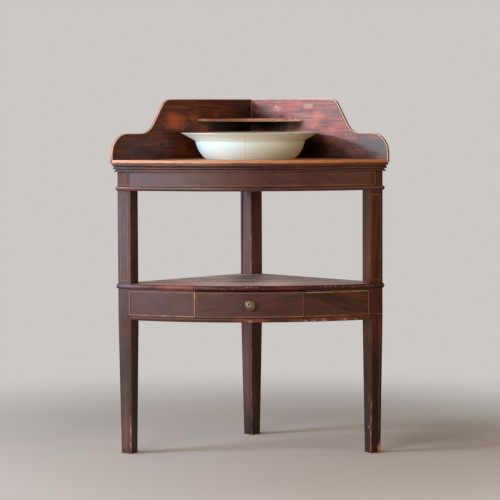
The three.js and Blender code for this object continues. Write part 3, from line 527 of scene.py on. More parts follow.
def rubbed_arris(name, polish, raw, most, foot_height=0.0):
    """The same mahogany where an edge has been handled: polish gone, bare wood in patches.

    The eye gets a thin broken light line along the edge, wider and barer near the floor.
    """
    material, tree, place = blank_material(name)
    worn = clouds(tree, place, (26.316,) * 3, 5.0, 0.75)
    share = wire(tree, "ShaderNodeMapRange", {
        "Value": worn, "From Min": 0.42, "From Max": 0.64, "To Max": most})
    if foot_height > 0.0:
        height = wire(tree, "ShaderNodeSeparateXYZ", {"Vector": place}, out=2)
        low = wire(tree, "ShaderNodeMapRange", {
            "Value": height, "From Min": foot_height, "From Max": 0.6 * foot_height,
            "To Max": 0.8}, interpolation_type="SMOOTHSTEP")
        share = wire(tree, "ShaderNodeMath", {0: share, 1: low}, operation="ADD", use_clamp=True)
    tone = wire(tree, "ShaderNodeMix", {0: share, 6: polish, 7: raw}, out=2, data_type="RGBA")
    close_material(tree, {"Base Color": tone, "Roughness": 0.5, "IOR": 1.5}, worn, -0.15 * MM)
    return material


def bare_front_edge(name, tones, grain, raw, oiled, reach):
    """Mahogany board whose bowed front edge is worn back to bare wood.

    The eye gets a peach-coloured edge, pale at the left and brown at the right as painted light
    from the left, darker along its underside, under a top gone warm brown from two centuries of
    spilt water.
    """
    material, tree, place = blank_material(name)
    tone, pores = mahogany_tone(tree, place, tones, grain)
    level = wire(tree, "ShaderNodeVectorMath", {0: place, 1: (1.0, 1.0, 0.0)}, operation="MULTIPLY")
    centre = place_on_bow(0.0, -bpy.context.scene.washstand_sizes.bow_radius)
    distance = wire(tree, "ShaderNodeVectorMath", {0: level, 1: centre}, out=1,
                    operation="DISTANCE")
    stain = clouds(tree, place, (22, 22, 7), 5.0, 0.7)
    ragged = wire(tree, "ShaderNodeMath", {0: stain, 1: 3 * MM, 2: distance},
                  operation="MULTIPLY_ADD")
    bare = wire(tree, "ShaderNodeMapRange", {
        "Value": ragged, "From Min": reach - 2.5 * MM, "From Max": reach - 0.5 * MM})
    height = wire(tree, "ShaderNodeSeparateXYZ", {"Vector": place}, out=2)
    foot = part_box("basin_board")[0].z
    wave = wire(tree, "ShaderNodeMath", {0: stain, 1: -9 * MM, 2: height}, operation="MULTIPLY_ADD")
    clean = wire(tree, "ShaderNodeMapRange", {
        "Value": wave, "From Min": foot - 3.4 * MM, "From Max": foot - 1.0 * MM})
    share = wire(tree, "ShaderNodeMath", {0: bare, 1: clean}, operation="MULTIPLY")
    # Painted light: the bare edge goes from pale at the left to brown at the right, as if lit from
    # the left
    aside = wire(tree, "ShaderNodeSeparateXYZ", {"Vector": place}, out=0)
    painted_light_field = wire(tree, "ShaderNodeMath", {0: stain, 1: 0.5, 2: aside}, operation="MULTIPLY_ADD")
    bare_tone = lay_over(tree, raw, oiled, painted_light_field, -0.30, 0.50)
    tone = wire(tree, "ShaderNodeMix", {0: share, 6: tone, 7: bare_tone}, out=2, data_type="RGBA")
    close_material(tree, {"Base Color": tone, "Roughness": 0.46, "IOR": 1.5}, pores, -0.05 * MM)
    return material


def boxwood_inlay(name, clean, dirty, least=0.15):
    """Boxwood strings, inlaid flush, scraped and polished over.

    The eye gets a fine golden line that goes brown where old polish and dirt lie over it.
    """
    material, tree, place = blank_material(name)
    dirt = clouds(tree, place, (58.824,) * 3, 5.0, 0.7)
    tone = lay_over(tree, clean, dirty, dirt, 0.38, 0.64, 0.95, least)
    close_material(tree, {"Base Color": tone, "Roughness": 0.4, "IOR": 1.5}, dirt, 0.05 * MM)
    return material


def sawn_pine(name, body, dark):
    """Pine of the drawer linings and bearers, sawn and planed but never finished.

    The eye gets dry yellow-brown wood with darker growth lines, dull all over and dirty with age.
    """
    material, tree, place = blank_material(name)
    growth = clouds(tree, place, (5, 260, 5), 3.0, distortion=0.8)
    grime = clouds(tree, place, (111.11,) * 3, 6.0)
    tone = lay_over(tree, body, dark, growth, 0.42, 0.6, 0.65)
    tone = lay_over(tree, tone, dark, grime, 0.45, 0.7, 0.6)
    close_material(tree, {"Base Color": tone, "Roughness": 0.8, "IOR": 1.5}, growth, 0.2 * MM)
    return material


def tarnished_brass(name, rubbed, dark, face):
    """Stamped and cast brass, lacquer long gone.

    The eye gets dull yellow metal, bright on the high places and brown in the hollows.
    """
    material, tree, place = blank_material(name)
    blotch = clouds(tree, place, (2.381,) * 3, 5.0, 0.7)
    front = wire(tree, "ShaderNodeSeparateXYZ", {"Vector": place}, out=1)
    deep = wire(tree, "ShaderNodeMapRange", {
        "Value": front, "From Min": face + 0.5 * MM, "From Max": face + 2.2 * MM, "To Max": 0.7})
    stain = wire(tree, "ShaderNodeMapRange", {
        "Value": blotch, "From Min": 0.44, "From Max": 0.56, "To Max": 0.92})
    share = wire(tree, "ShaderNodeMath", {0: deep, 1: stain}, operation="MAXIMUM")
    tone = wire(tree, "ShaderNodeMix", {0: share, 6: rubbed, 7: dark}, out=2, data_type="RGBA")
    rough = wire(tree, "ShaderNodeMapRange", {"Value": share, "To Min": 0.24, "To Max": 0.55})
    close_material(tree, {
        "Base Color": tone, "Roughness": rough, "Metallic": 0.9}, blotch, 0.3 * MM)
    return material


def rusted_iron(name, iron, rust):
    """Wrought nails and screws, dark with a skin of rust.

    The eye gets a dull grey-black head with brown patches.
    """
    material, tree, place = blank_material(name)
    bloom = clouds(tree, place, (1.6667,) * 3, 4.0, 0.7)
    tone = lay_over(tree, iron, rust, bloom, 0.42, 0.6, 0.9)
    close_material(tree, {
        "Base Color": tone, "Roughness": 0.65, "Metallic": 0.6}, bloom, 0.1 * MM)
    return material


def glazed_creamware(name, glaze, warm, worn, dirt):
    """Pale earthenware, turned, dipped in a clear lead glaze and fired.

    The eye gets a smooth wet gloss over an off-white body, warmer blotches where the glaze has
    crazed and stained, a flange tinted warm as painted light thrown up from the board, and one
    hairline crack down the front.
    """
    material, tree, place = blank_material(name)
    blotch = clouds(tree, place, (111.11,) * 3, 5.0, 0.6)
    stain = wire(tree, "ShaderNodeMapRange", {
        "Value": blotch, "From Min": 0.45, "From Max": 0.72, "To Max": 0.45})
    height = wire(tree, "ShaderNodeSeparateXYZ", {"Vector": place}, out=2)
    sizes = bpy.context.scene.washstand_sizes
    foot, top = (corner.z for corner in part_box("basin"))
    # Painted light: above the flange height the glaze takes the warm colour, for warm light thrown
    # up from the board
    flare = wire(tree, "ShaderNodeMapRange", {
        "Value": height, "From Min": foot + sizes.basin_flange - 0.5 * MM,
        "From Max": foot + sizes.basin_flange + 1.5 * MM, "To Max": 0.35})
    stain = wire(tree, "ShaderNodeMath", {0: stain, 1: flare}, operation="MAXIMUM")
    tone = wire(tree, "ShaderNodeMix", {0: stain, 6: glaze, 7: warm}, out=2, data_type="RGBA")
    lip = wire(tree, "ShaderNodeMath", {0: blotch, 1: -2.5 * MM, 2: height},
               operation="MULTIPLY_ADD")
    tone = lay_over(tree, tone, worn, lip, top - 3.6 * MM, top - 2.4 * MM, 0.75)
    wobble = clouds(tree, place, (25,) * 3, 4.0)
    aside = wire(tree, "ShaderNodeSeparateXYZ", {"Vector": place}, out=0)
    crack = wire(tree, "ShaderNodeMath", {0: wobble, 1: 5 * MM, 2: aside}, operation="MULTIPLY_ADD")
    crack = wire(tree, "ShaderNodeMath", {0: crack, 1: -9 * MM, 2: 0.45 * MM}, operation="COMPARE")
    depth = wire(tree, "ShaderNodeSeparateXYZ", {"Vector": place}, out=1)
    front = wire(tree, "ShaderNodeMath", {0: depth, 1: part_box("basin")[0].y + 90 * MM},
                 operation="LESS_THAN")
    share = wire(tree, "ShaderNodeMath", {0: crack, 1: front}, operation="MULTIPLY")
    share = wire(tree, "ShaderNodeMath", {0: share, 1: 0.5}, operation="MULTIPLY")
    tone = wire(tree, "ShaderNodeMix", {0: share, 6: tone, 7: dirt}, out=2, data_type="RGBA")
    # Throwing rings are under a millimetre high and show only as a slow ripple in the gloss
    rings = clouds(tree, place, (300, 300, 9), 1.0)
    close_material(tree, {
        "Base Color": tone, "Roughness": 0.3, "IOR": 1.5,
        "Coat Weight": 0.4, "Coat Roughness": 0.16}, rings, 0.3 * MM)
    return material


# Pieces


def bowl_wall(inset, floor, start):
    """Points of the bowl's wall from an angle below the level up to where the rim flares out."""
    sizes = bpy.context.scene.washstand_sizes
    top, steps = sizes.basin_bowl_height, 28
    end = math.asin((top - sizes.basin_flange) / top)
    points = []
    for step in range(steps + 1):
        angle = start + (end - start) * step / steps
        reach = (sizes.basin_bowl - sizes.basin_floor - inset) * math.cos(angle)
        points.append((sizes.basin_floor + reach, top - (top - floor) * math.sin(angle)))
    return points


def basin_profile(height):
    """Outline of half a basin, from under its foot, round the rim and back to the floor."""
    sizes = bpy.context.scene.washstand_sizes
    lip, foot, recess, floor = sizes.basin_lip / 2, sizes.basin_foot, 4 * MM, 9 * MM
    start = math.acos((foot - sizes.basin_floor) / (sizes.basin_bowl - sizes.basin_floor))
    outer = bowl_wall(0.0, 0.0, start)
    inner = bowl_wall(sizes.basin_wall, floor, math.pi / 2)[::-1]
    slope = math.atan2(height - lip - outer[-1][1], sizes.basin_rim - outer[-1][0])
    roll, steps = [], 8
    for step in range(steps + 1):
        turn = slope - math.pi / 2 + math.pi * step / steps
        roll.append((
            sizes.basin_rim - lip + lip * math.cos(turn), height - lip + lip * math.sin(turn)))
    under = [(0.0, recess), (foot - 7 * MM, recess), (foot - 6.4 * MM, 0.4 * MM)]
    under += [(foot - 5.5 * MM, 0.0), (foot - 1.2 * MM, 0.0), (foot, 1 * MM)]
    return under + outer + roll + inner + [(0.0, floor)]


def knob_profile(length):
    """Outline of half a knob, from its rose to the raised rim of its face."""
    head = bpy.context.scene.washstand_sizes.knob_radius
    stem = [(0, 0), (8, 0), (8, 1.2), (7, 2.1), (4.6, 2.8), (4.4, 7), (4.8, 11), (8, 13.4)]
    points = [(radius * MM, height * MM) for radius, height in stem]
    points += [(head - 2 * MM, 15.2 * MM), (head - 0.4 * MM, 16.4 * MM), (head, 17.4 * MM)]
    points += [(head - 0.5 * MM, length - 3.6 * MM), (head - 1.4 * MM, length - 2.9 * MM)]
    points += [(head - 2.4 * MM, length - 3.0 * MM), (head - 3 * MM, length - 3.7 * MM)]
    steps = 12
    for step in range(steps):
        radius = (head - 3.4 * MM) * (1 - step / steps)
        rise = 3.2 * MM * (1 - (radius / head) ** 2)
        points.append((radius, length - 4.8 * MM + rise))
    return points + [(0.0, length - 1.5 * MM)]


def stamp_flower(shape, middle, length):
    """Presses eight petals round a boss into the face of a knob."""
    sizes = bpy.context.scene.washstand_sizes
    reach, face = sizes.knob_radius - 3.2 * MM, length - 5.2 * MM
    for vertex in shape.verts:
        local = vertex.co - middle
        radius, turn = math.hypot(local.x, local.z), math.atan2(local.z, local.x)
        if -local.y < face or radius > reach:
            continue
        share = radius / reach
        petal = math.sin(math.pi * min(1.0, max(0.0, (share - 0.28) / 0.72)))
        lift = petal * abs(math.cos(4 * turn)) - 0.8 * (0.2 < share < 0.36)
        vertex.co.y -= sizes.knob_relief * lift * (1.0 if lift < 0 else 0.7)


def soap_shelf_shape():
    """A corner shelf with a bowed front edge, worn round and a little ragged."""
    sizes = bpy.context.scene.washstand_sizes
    low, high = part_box("soap_shelf")
    half, sagitta = high.x, high.y - high.x - low.y
    radius = (half ** 2 + sagitta ** 2) / (2 * sagitta)
    sweep, steps = math.asin(half / radius), 96
    thickness, turn_steps = high.z - low.z, 8
    shape = bmesh.new()
    rings = []
    for level in range(turn_steps + 1):
        slant = math.pi * (level / turn_steps - 0.5)
        inset = sizes.shelf_edge * (1 - math.cos(slant))
        height = (low.z + high.z) / 2 + thickness / 2 * math.sin(slant)
        ring = []
        for step in range(steps + 1):
            angle = sweep * (2 * step / steps - 1)
            x, y = radius * math.sin(angle), low.y + radius * (1 - math.cos(angle))
            # Waves of wear are about 17 mm long and nicks about 6 mm, more of them at the left
            wear = noise.noise(Vector((x * 60, height * 90, 3.0))) * 0.5 + 0.5
            nick = max(0.0, noise.noise(Vector((x * 160, height * 200, 9.0))) - 0.25)
            left = max(0.0, -x / half - 0.75) * 4
            inwards = inset + sizes.shelf_raggedness * (0.6 * wear + (1.2 + 3 * left) * nick)
            inwards *= min(1.0, (half - abs(x)) / (3 * MM))
            ring.append(shape.verts.new((
                x - inwards * math.sin(angle), y + inwards * math.cos(angle), height)))
        ring.append(shape.verts.new((0.0, high.y, height)))
        rings.append(ring)
    for near, far in zip(rings, rings[1:]):
        for index in range(len(near)):
            after = (index + 1) % len(near)
            shape.faces.new((near[index], near[after], far[after], far[index]))
    shape.faces.new(rings[0][::-1])
    shape.faces.new(rings[-1])
    return shape


def on_gallery(aside, height):
    """A point of a gallery board's inner face, from its distance to the side."""
    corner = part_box("soap_shelf")[1].y
    return (aside, corner - abs(aside), height)


def leg_string_ends(aside, low, high):
    """Ends of an upright string on a front leg, keeping to the taper."""
    width = bpy.context.scene.washstand_sizes.leg_width
    ends = []
    for height in (low, high):
        drawn_in = leg_narrowing(height)
        ends.append((aside + (drawn_in if aside < width / 2 else -drawn_in), height))
    return ends


# Finished pieces


def carcase_tones():
    """Dark, body and red tone of the front legs, mouldings, rails, right panel and shelves."""
    colours = bpy.context.scene.washstand_colours
    return colours.mahogany_dark, colours.mahogany, colours.mahogany_red


def front_tones():
    """Dark, body and red tone of the frieze, left panel, drawer front and back leg."""
    colours = bpy.context.scene.washstand_colours
    return colours.mahogany_dusk, colours.mahogany_plum, colours.mahogany_red


def spread(place, rows):
    """Patches at the points that a function gives for the first two values of each row."""
    return [(place(first, second), *patch) for first, second, *patch in rows]


def up_a_leg(x, y, rows):
    """Patches up a leg, in rows of the way aside and back from its arris, heights and patch."""
    return [(Vector((x + aside, y + back, height)), *patch)
            for aside, back, heights, *patch in rows for height in heights]


def finish_front_legs(sizes, colours):
    """Feet and arrises knocked to bare wood, painted shade below the apron, painted sheen on the
    left leg.
    """
    raw, pale, bloom = colours.mahogany_raw, colours.rubbed_pale, colours.painted_sheen
    x, y = 347 * MM, -155.5 * MM
    patches = up_a_leg(-x, y, [
        (0.0, 0.0, (0.03, 0.06, 0.09), 0.010, raw, 0.8),
        # Painted sheen: blue-grey where daylight from the left glances off the left leg's face
        (-0.02, 0.01, (0.5, 0.6, 0.7), 0.090, bloom, 0.2),
        (-0.025, 0.01, (0.1, 0.2, 0.3), 0.090, bloom, 0.1),
        (-0.02, 0.01, (0.02, 0.07, 0.12), 0.050, raw, 0.05)])
    patches += up_a_leg(x, y, [
        (0.0, 0.0, (0.02, 0.06, 0.10, 0.14), 0.009, raw, 1.0),
        (0.023, 0.0185, (0.012,), 0.010, raw, 0.8),
        (-0.006, 0.010, (0.08, 0.16), 0.005, pale, 0.8)])
    leg = polished_mahogany(
        "Polished mahogany, front legs", carcase_tones(), UPRIGHT_GRAIN, patches=patches,
        shaded_below=0.85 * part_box("apron_rail")[0].z, coat=0.1, specular=0.3)
    arris = rubbed_arris(
        "Mahogany, knocked leg arris", colours.mahogany, colours.rubbed_body, 0.9, 90 * MM)
    dress(["right_front_leg", "left_front_leg"], [leg, arris], sizes.arris)


def finish_back_leg(sizes, colours):
    """A duskier leg: small chips up its arris, painted sheen to its left, painted warm light to its
    right, black foot and painted shade low down.
    """
    pale, bloom, body = colours.rubbed_pale, colours.painted_sheen, colours.rubbed_body
    patches = up_a_leg(0.0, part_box("back_leg")[0].y, [
        (0.0, 0.0, (0.13, 0.25, 0.26, 0.60, 0.53, 0.51), 0.008, pale, 0.9),
        # Painted light: the body and bloom patches on the left face are painted sheen, the red
        # patch on the right face is painted warm light
        (-0.02, 0.02, (0.13, 0.20, 0.28), 0.060, body, 0.08),
        (-0.02, 0.02, (0.13, 0.20, 0.28), 0.060, bloom, 0.08),
        (-0.02, 0.02, (0.55, 0.70), 0.130, bloom, 0.2),
        (0.02, 0.02, (0.55, 0.70), 0.130, colours.mahogany_red, 0.2),
        (0.0, 0.010, (0.0,), 0.055, colours.black_stain_and_shadow, 0.95)])
    leg = polished_mahogany(
        "Polished mahogany, back leg", front_tones(), UPRIGHT_GRAIN, patches=patches,
        shaded_below=300 * MM, coat=0.1, specular=0.35)
    arris = rubbed_arris("Mahogany, chipped back leg arris", colours.mahogany, pale, 0.5)
    dress(["back_leg"], [leg, arris], sizes.arris)


def finish_nosing(sizes, colours):
    """Shelf edge worn red at its left, with painted sheen at its left end, dark at its right, with
    bare chips all along it.
    """
    body, red, dark = colours.rubbed_body, colours.mahogany_red, colours.mahogany_dark
    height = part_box("shelf_nosing")[1].z - 6 * MM
    rows = [
        (-0.23, 0.0, 0.036, body, 0.75), (-0.18, 0.0, 0.040, body, 0.6),
        (-0.12, 0.0, 0.036, body, 0.3), (-0.02, 0.0, 0.050, red, 0.6),
        # The blue-grey patch at the left end is painted sheen
        (0.10, 0.0, 0.050, red, 0.6), (-0.34, 0.0, 0.090, colours.painted_sheen, 0.45),
        (0.20, 0.0, 0.090, dark, 0.3), (0.28, 0.0, 0.110, dark, 0.5),
        (0.00, 0.0, 0.130, dark, 0.3)]
    rows += [(aside, 0.0, 0.006, colours.mahogany_raw, 0.2)
             for aside in (0.26, 0.29, 0.33, 0.345, 0.38)]
    rows += [(aside, rise * MM, 0.004, colours.rubbed_pale, 1.0) for aside, rise in (
        (-0.200, 1), (-0.079, -3), (-0.070, -4), (-0.049, -3), (-0.008, 3), (0.005, 3),
        (0.018, 2), (0.038, -3), (0.113, -3), (0.213, 3), (0.226, 3), (0.240, 3))]
    wood = polished_mahogany(
        "Knocked mahogany, shelf nosing", carcase_tones(), LEVEL_GRAIN, coat=0.1, specular=0.3,
        patches=spread(lambda aside, rise: on_front(aside, height + rise, 8 * MM), rows))
    dress(["shelf_nosing"], [wood, wood], sizes.arris)


def finish_apron_bead(sizes, colours, arris):
    """Bead under the apron, rubbed through in small pale chips."""
    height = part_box("apron_bead")[0].z + 3 * MM
    rows = [(aside, height, 0.035, colours.rubbed_body, 0.4)
            for aside in (-0.02, 0.03, 0.14, 0.20, 0.26)]
    rows += [(aside, height, 0.009, colours.rubbed_pale, 0.9)
             for aside in (0.0, 0.155, 0.18, 0.21, 0.27, 0.30)]
    wood = polished_mahogany(
        "Knocked mahogany, apron bead", carcase_tones(), LEVEL_GRAIN, coat=0.1, specular=0.3,
        patches=spread(on_front, rows))
    dress(["apron_bead", "apron_rail"], [wood, arris], sizes.fine_arris)


def finish_lower_shelf(sizes, colours, arris):
    """Shelf scoured grey and scratched in front, pale with wear and painted sheen, with the back
    leg's painted reflection dark down its middle.
    """
    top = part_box("lower_shelf")[1].z
    pale, paler, dark = colours.rubbed_pale, colours.arris_pale, colours.mahogany_dark
    wood = polished_mahogany(
        "Worn mahogany with painted sheen, shelf", carcase_tones(), FLAT_GRAIN, rubbed=(colours.shelf_wear_and_sheen, 0.78),
        roughness=0.56, coat=0.0, patches=spread(lambda x, y: Vector((x, y, top)), [
            # Pale patches of wear and painted sheen, the back leg's painted reflection dark down
            # the middle, and scuffs at the front
            (0.06, -0.13, 0.110, pale, 1.0), (-0.13, -0.12, 0.130, pale, 0.8),
            (-0.20, -0.17, 0.100, colours.rubbed_body, 0.5), (-0.01, 0.14, 0.100, dark, 0.6),
            (-0.01, 0.04, 0.080, dark, 0.5), (-0.015, -0.08, 0.070, dark, 0.45),
            (0.07, -0.20, 0.070, paler, 0.9), (-0.09, -0.20, 0.060, paler, 0.6)]))
    dress(["lower_shelf"], [wood, arris], sizes.fine_arris)


def finish_left_gallery(sizes, colours, arris, sight, shade):
    """Gallery faded to orange where daylight falls, with painted shade in the corner, painted
    shadow under the shelf and a painted pool of light low beside the basin.
    """
    glow, pale, dark = colours.gallery_glow, colours.rubbed_pale, colours.mahogany_dark
    black = colours.black_stain_and_shadow
    wood = polished_mahogany(
        "Polished mahogany, left gallery",
        (colours.gallery_dark, colours.gallery_body, glow), GALLERY_GRAIN, streaks=0.4, coat=0.0,
        patches=spread(on_gallery, [
            (-0.222, 0.955, 0.048, glow, 0.85), (-0.168, 0.968, 0.030, glow, 0.4),
            (-0.236, 0.975, 0.030, glow, 0.35), (-0.106, 0.974, 0.020, glow, 0.6),
            # Painted light: the first patch below lifts the shade low beside the basin; a knot
            # follows
            (-0.200, 0.875, 0.030, glow, 0.3), (-0.261, 0.893, 0.030, colours.mahogany_oiled, 0.45),
            (-0.261, 0.890, 0.018, dark, 0.95), (-0.345, 0.885, 0.120, dark, 0.6),
            # Painted shade in the corner, and painted shadow under the shelf
            (-0.020, 0.985, 0.100, dark, 0.95), (-0.090, 0.945, 0.070, dark, 0.8),
            (-0.245, 1.006, 0.004, pale, 0.6), (-0.221, 0.998, 0.004, pale, 0.5),
            # Painted shadow of the soap shelf
            (-0.040, shade, 0.060, black, 0.9), (-0.105, shade, 0.050, black, 0.8)]),
        edge=((0.7071, -0.7071, 0.0), colours.rubbed_body))
    dress(["left_gallery"], [wood, arris], sizes.gallery_arris, sight=sight)


def finish_right_gallery(sizes, colours, arris, sight, shade):
    """Gallery rubbed to pink, scuffed and salmon in places, with painted sheen at its end, painted
    shade in the corner and on its edges, and the basin's and shelf's shadows painted dark.
    """
    plum, pale, salmon = colours.rubbed_plum, colours.rubbed_pale, colours.rubbed_salmon
    dark, black = colours.mahogany_dark, colours.black_stain_and_shadow
    wood = polished_mahogany(
        "Polished mahogany, right gallery", (plum, colours.rubbed_body, pale), RUBBED_GRAIN,
        streaks=0.25, coat=0.0, patches=spread(on_gallery, [
            # Painted sheen at the end, then painted shade in the corner
            (0.360, 0.885, 0.130, colours.rubbed_sheen, 0.95), (0.008, 0.980, 0.068, dark, 0.95),
            # Painted shadow of the soap shelf, then of the basin, down to the end
            (0.070, 0.947, 0.085, dark, 0.9), (0.190, 0.862, 0.130, dark, 0.95),
            (0.280, 0.845, 0.100, dark, 0.9), (0.345, 0.828, 0.075, dark, 0.75),
            (0.200, 0.975, 0.030, salmon, 0.7), (0.190, 0.945, 0.030, salmon, 0.6),
            (0.240, 0.930, 0.026, salmon, 0.5), (0.145, 1.008, 0.020, salmon, 0.5),
            (0.260, 0.980, 0.030, plum, 0.8), (0.160, 1.000, 0.026, plum, 0.8),
            (0.048, 0.985, 0.036, plum, 0.8), (0.082, 0.993, 0.022, pale, 1.0),
            (0.172, 1.000, 0.024, pale, 0.9), (0.233, 0.980, 0.004, pale, 1.0),
            (0.242, 0.907, 0.004, pale, 1.0), (0.282, 0.916, 0.006, pale, 0.8),
            # Painted shadow of the soap shelf
            (0.040, shade, 0.060, black, 0.95), (0.095, shade, 0.050, black, 0.95),
            (0.140, shade, 0.036, black, 0.9)]),
        # Painted shade on the edges, which face away from the light
        edge=((-0.7071, -0.7071, 0.0), dark))
    dress(["right_gallery"], [wood, arris], sizes.gallery_arris, sight=sight)


# Stage


def painted_floor(name, near, far):
    """A plain painted floor, rolled on and matt.

    The eye gets an even pale ground that keeps the shadow and runs into the backdrop, between
    0.55 and 1.9 metres from its middle.
    """
    material, tree, place = blank_material(name)
    distance = wire(tree, "ShaderNodeVectorMath", {0: place}, out=1, operation="LENGTH")
    share = wire(tree, "ShaderNodeMapRange", {
        "Value": distance, "From Min": 0.55, "From Max": 1.9}, interpolation_type="SMOOTHSTEP")
    seen = wire(tree, "ShaderNodeLightPath")
    share = wire(tree, "ShaderNodeMath", {0: share, 1: seen}, operation="MULTIPLY")
    ground = wire(tree, "ShaderNodeBsdfPrincipled", {"Base Color": near, "Roughness": 0.9})
    backdrop = wire(tree, "ShaderNodeEmission", {"Color": far})
    wire(tree, "ShaderNodeOutputMaterial", {
        "Surface": wire(tree, "ShaderNodeMixShader", {0: share, 1: ground, 2: backdrop})})
    return material


def lay_floor(scene, colours):
    """A round floor just under the feet."""
    shape = bmesh.new()
    bmesh.ops.create_circle(shape, cap_ends=True, segments=96, radius=5.0)
    mesh = bpy.data.meshes.new("Floor")
    shape.to_mesh(mesh)
    shape.free()
    mesh.materials.append(painted_floor("Painted floor, matt", colours.floor, colours.backdrop))
    floor = bpy.data.objects.new("floor", mesh)
    scene.collection.objects.link(floor)
    floor.location.z = -0.2 * MM


def light_room(scene, colours):
    """Daylight fills the left and the wall behind; the room is paler in front, dim at the right."""
    world = bpy.data.worlds.new("Pale room")
    scene.world = world
    world.use_nodes = True
    tree = world.node_tree
    tree.nodes.clear()
    aim = wire(tree, "ShaderNodeTexCoord")
    room = linear("#45413d")
    for axis, low, high, colour in (
            (0, -0.05, -0.75, "#f8fbff"), (1, -0.6, -0.95, "#75726d"), (1, 0.55, 0.92, "#c2bdb8")):
        reach = wire(tree, "ShaderNodeSeparateXYZ", {"Vector": aim}, out=axis)
        room = lay_over(tree, room, linear(colour), reach, low, high, ramp="SMOOTHSTEP")
    seen = wire(tree, "ShaderNodeLightPath")
    tone = wire(tree, "ShaderNodeMix", {0: seen, 6: room, 7: colours.backdrop}, out=2,
                data_type="RGBA")
    wire(tree, "ShaderNodeOutputWorld", {
        "Surface": wire(tree, "ShaderNodeBackground", {"Color": tone})})


def lamp(name, place, aim, size, power, colour):
    """An area lamp that lights a point and stays out of the picture."""
    data = bpy.data.lights.new(name, "AREA")
    data.shape = "RECTANGLE"
    data.size, data.size_y = size
    data.energy = power
    data.color = linear(colour)[:3]
    light = bpy.data.objects.new(name, data)
    bpy.context.scene.collection.objects.link(light)
    light.location = place
    light.rotation_euler = (Vector(aim) - Vector(place)).to_track_quat("-Z", "Y").to_euler()
    light.visible_camera = False


# Operators and panel


class WASHSTAND_OT_stage(bpy.types.Operator):
    """Clears the scene round the frame and sets floor, light and camera"""
    bl_idname = "washstand.stage"
    bl_label = "Stage"

    def execute(self, context):
        scene, colours = context.scene, context.scene.washstand_colours
        kept = set(frame["nodes"].values()) | set(frame["bodies"].values())
        for thing in [o for o in bpy.data.objects if o not in kept]:
            bpy.data.objects.remove(thing)

        lay_floor(scene, colours)
        light_room(scene, colours)
        lamp("window_lamp", (-2.76, -0.90, 1.75), (0, 0, 0.75), (1.0, 0.25), 84, "#d6e6ff")
        lamp("fill_lamp", (-1.90, -3.70, 1.95), (0, 0, 0.7), (2.0, 1.5), 90, "#fff8ec")
        lamp("room_lamp", (2.60, -2.20, 1.90), (0, 0, 0.8), (1.8, 1.4), 31, "#ffce96")

        camera = bpy.data.objects.new("camera", bpy.data.cameras.new("Camera"))
        scene.collection.objects.link(camera)
        camera.location = (0.06, -6.30, 0.996)
        camera.rotation_euler = (math.radians(86.21), math.radians(0.23), math.radians(0.548))
        camera.data.lens = 154.8
        camera.data.sensor_width = 36.0
        scene.camera = camera
        scene.view_settings.view_transform = "Standard"
        return {"FINISHED"}


class WASHSTAND_OT_carcase(bpy.types.Operator):
    """Finishes the legs, frieze, mouldings, rails and lower shelf"""
    bl_idname = "washstand.carcase"
    bl_label = "Carcase"

    def execute(self, context):
        sizes, colours = context.scene.washstand_sizes, context.scene.washstand_colours
        edge = rubbed_arris(
            "Mahogany, rubbed arris", colours.mahogany_dark, colours.rubbed_body, 0.8)
        finish_front_legs(sizes, colours)
        finish_back_leg(sizes, colours)
        finish_nosing(sizes, colours)
        finish_apron_bead(sizes, colours, edge)
        finish_lower_shelf(sizes, colours, edge)

        # Painted sheen: bloom is the blue-grey laid on the left of the frieze and on the left
        # panel, where daylight from the left glances off
        bloom = colours.painted_sheen
        front = polished_mahogany(
            "Polished mahogany, fronts", front_tones(), LEVEL_GRAIN, 0.25, streaks=0.35,
            patches=spread(on_front, [
                (-0.32, 0.795, 0.240, bloom, 0.26), (-0.26, 0.455, 0.150, bloom, 0.15)]))
        dress(["frieze"], [front, front], sizes.fine_arris)
        dress(["left_apron_panel"], [front, edge], sizes.fine_arris)
        flame = polished_mahogany(
            "Polished mahogany, right panel", carcase_tones(), LEVEL_GRAIN, 0.3, streaks=0.35,
            coat=0.1)
        dress(["right_apron_panel"], [flame, edge], sizes.fine_arris)

        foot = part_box("top_moulding")[0].z + MM
        slim = polished_mahogany(
            "Polished mahogany, mouldings", carcase_tones(), LEVEL_GRAIN,
            patches=spread(on_front, [(aside, foot, 0.005, colours.rubbed_pale, 0.9)
                                      for aside in (0.068, 0.085, 0.18, 0.20)]))
        dress(["frieze_bead", "top_moulding"], [slim, edge], sizes.fine_arris)
        rail = polished_mahogany(
            "Polished mahogany, side rails", carcase_tones(), LEVEL_GRAIN)
        dress(["right_upper_rail", "left_upper_rail", "right_lower_rail", "left_lower_rail"],
              [rail, edge], sizes.fine_arris)
        return {"FINISHED"}


class WASHSTAND_OT_top(bpy.types.Operator):
    """Finishes the gallery boards and the basin board"""
    bl_idname = "washstand.top"
    bl_label = "Gallery and basin board"

    def execute(self, context):
        sizes, colours = context.scene.washstand_sizes, context.scene.washstand_colours
        edge = rubbed_arris(
            "Mahogany, rubbed gallery arris", colours.mahogany_bare, colours.arris_pale, 1.0)
        shelf = [corner.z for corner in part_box("soap_shelf")]
        sight = arrises_in_sight(
            "Gallery arrises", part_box("basin_board")[1].z, (shelf[0] - MM, shelf[1] + MM))
        # Height of the painted shadow that the soap shelf casts on both galleries
        shade = shelf[0] - 8 * MM
        finish_left_gallery(sizes, colours, edge, sight, shade)
        finish_right_gallery(sizes, colours, edge, sight, shade)
        warm = (colours.gallery_body, colours.mahogany_oiled, colours.mahogany_raw)
        board = bare_front_edge(
            "Mahogany board, bare front edge", warm, FLAT_GRAIN, colours.mahogany_bare,
            colours.mahogany_oiled, sizes.bow_radius - 25 * MM)
        dress(["basin_board"], [board, board], sizes.arris)
        return {"FINISHED"}


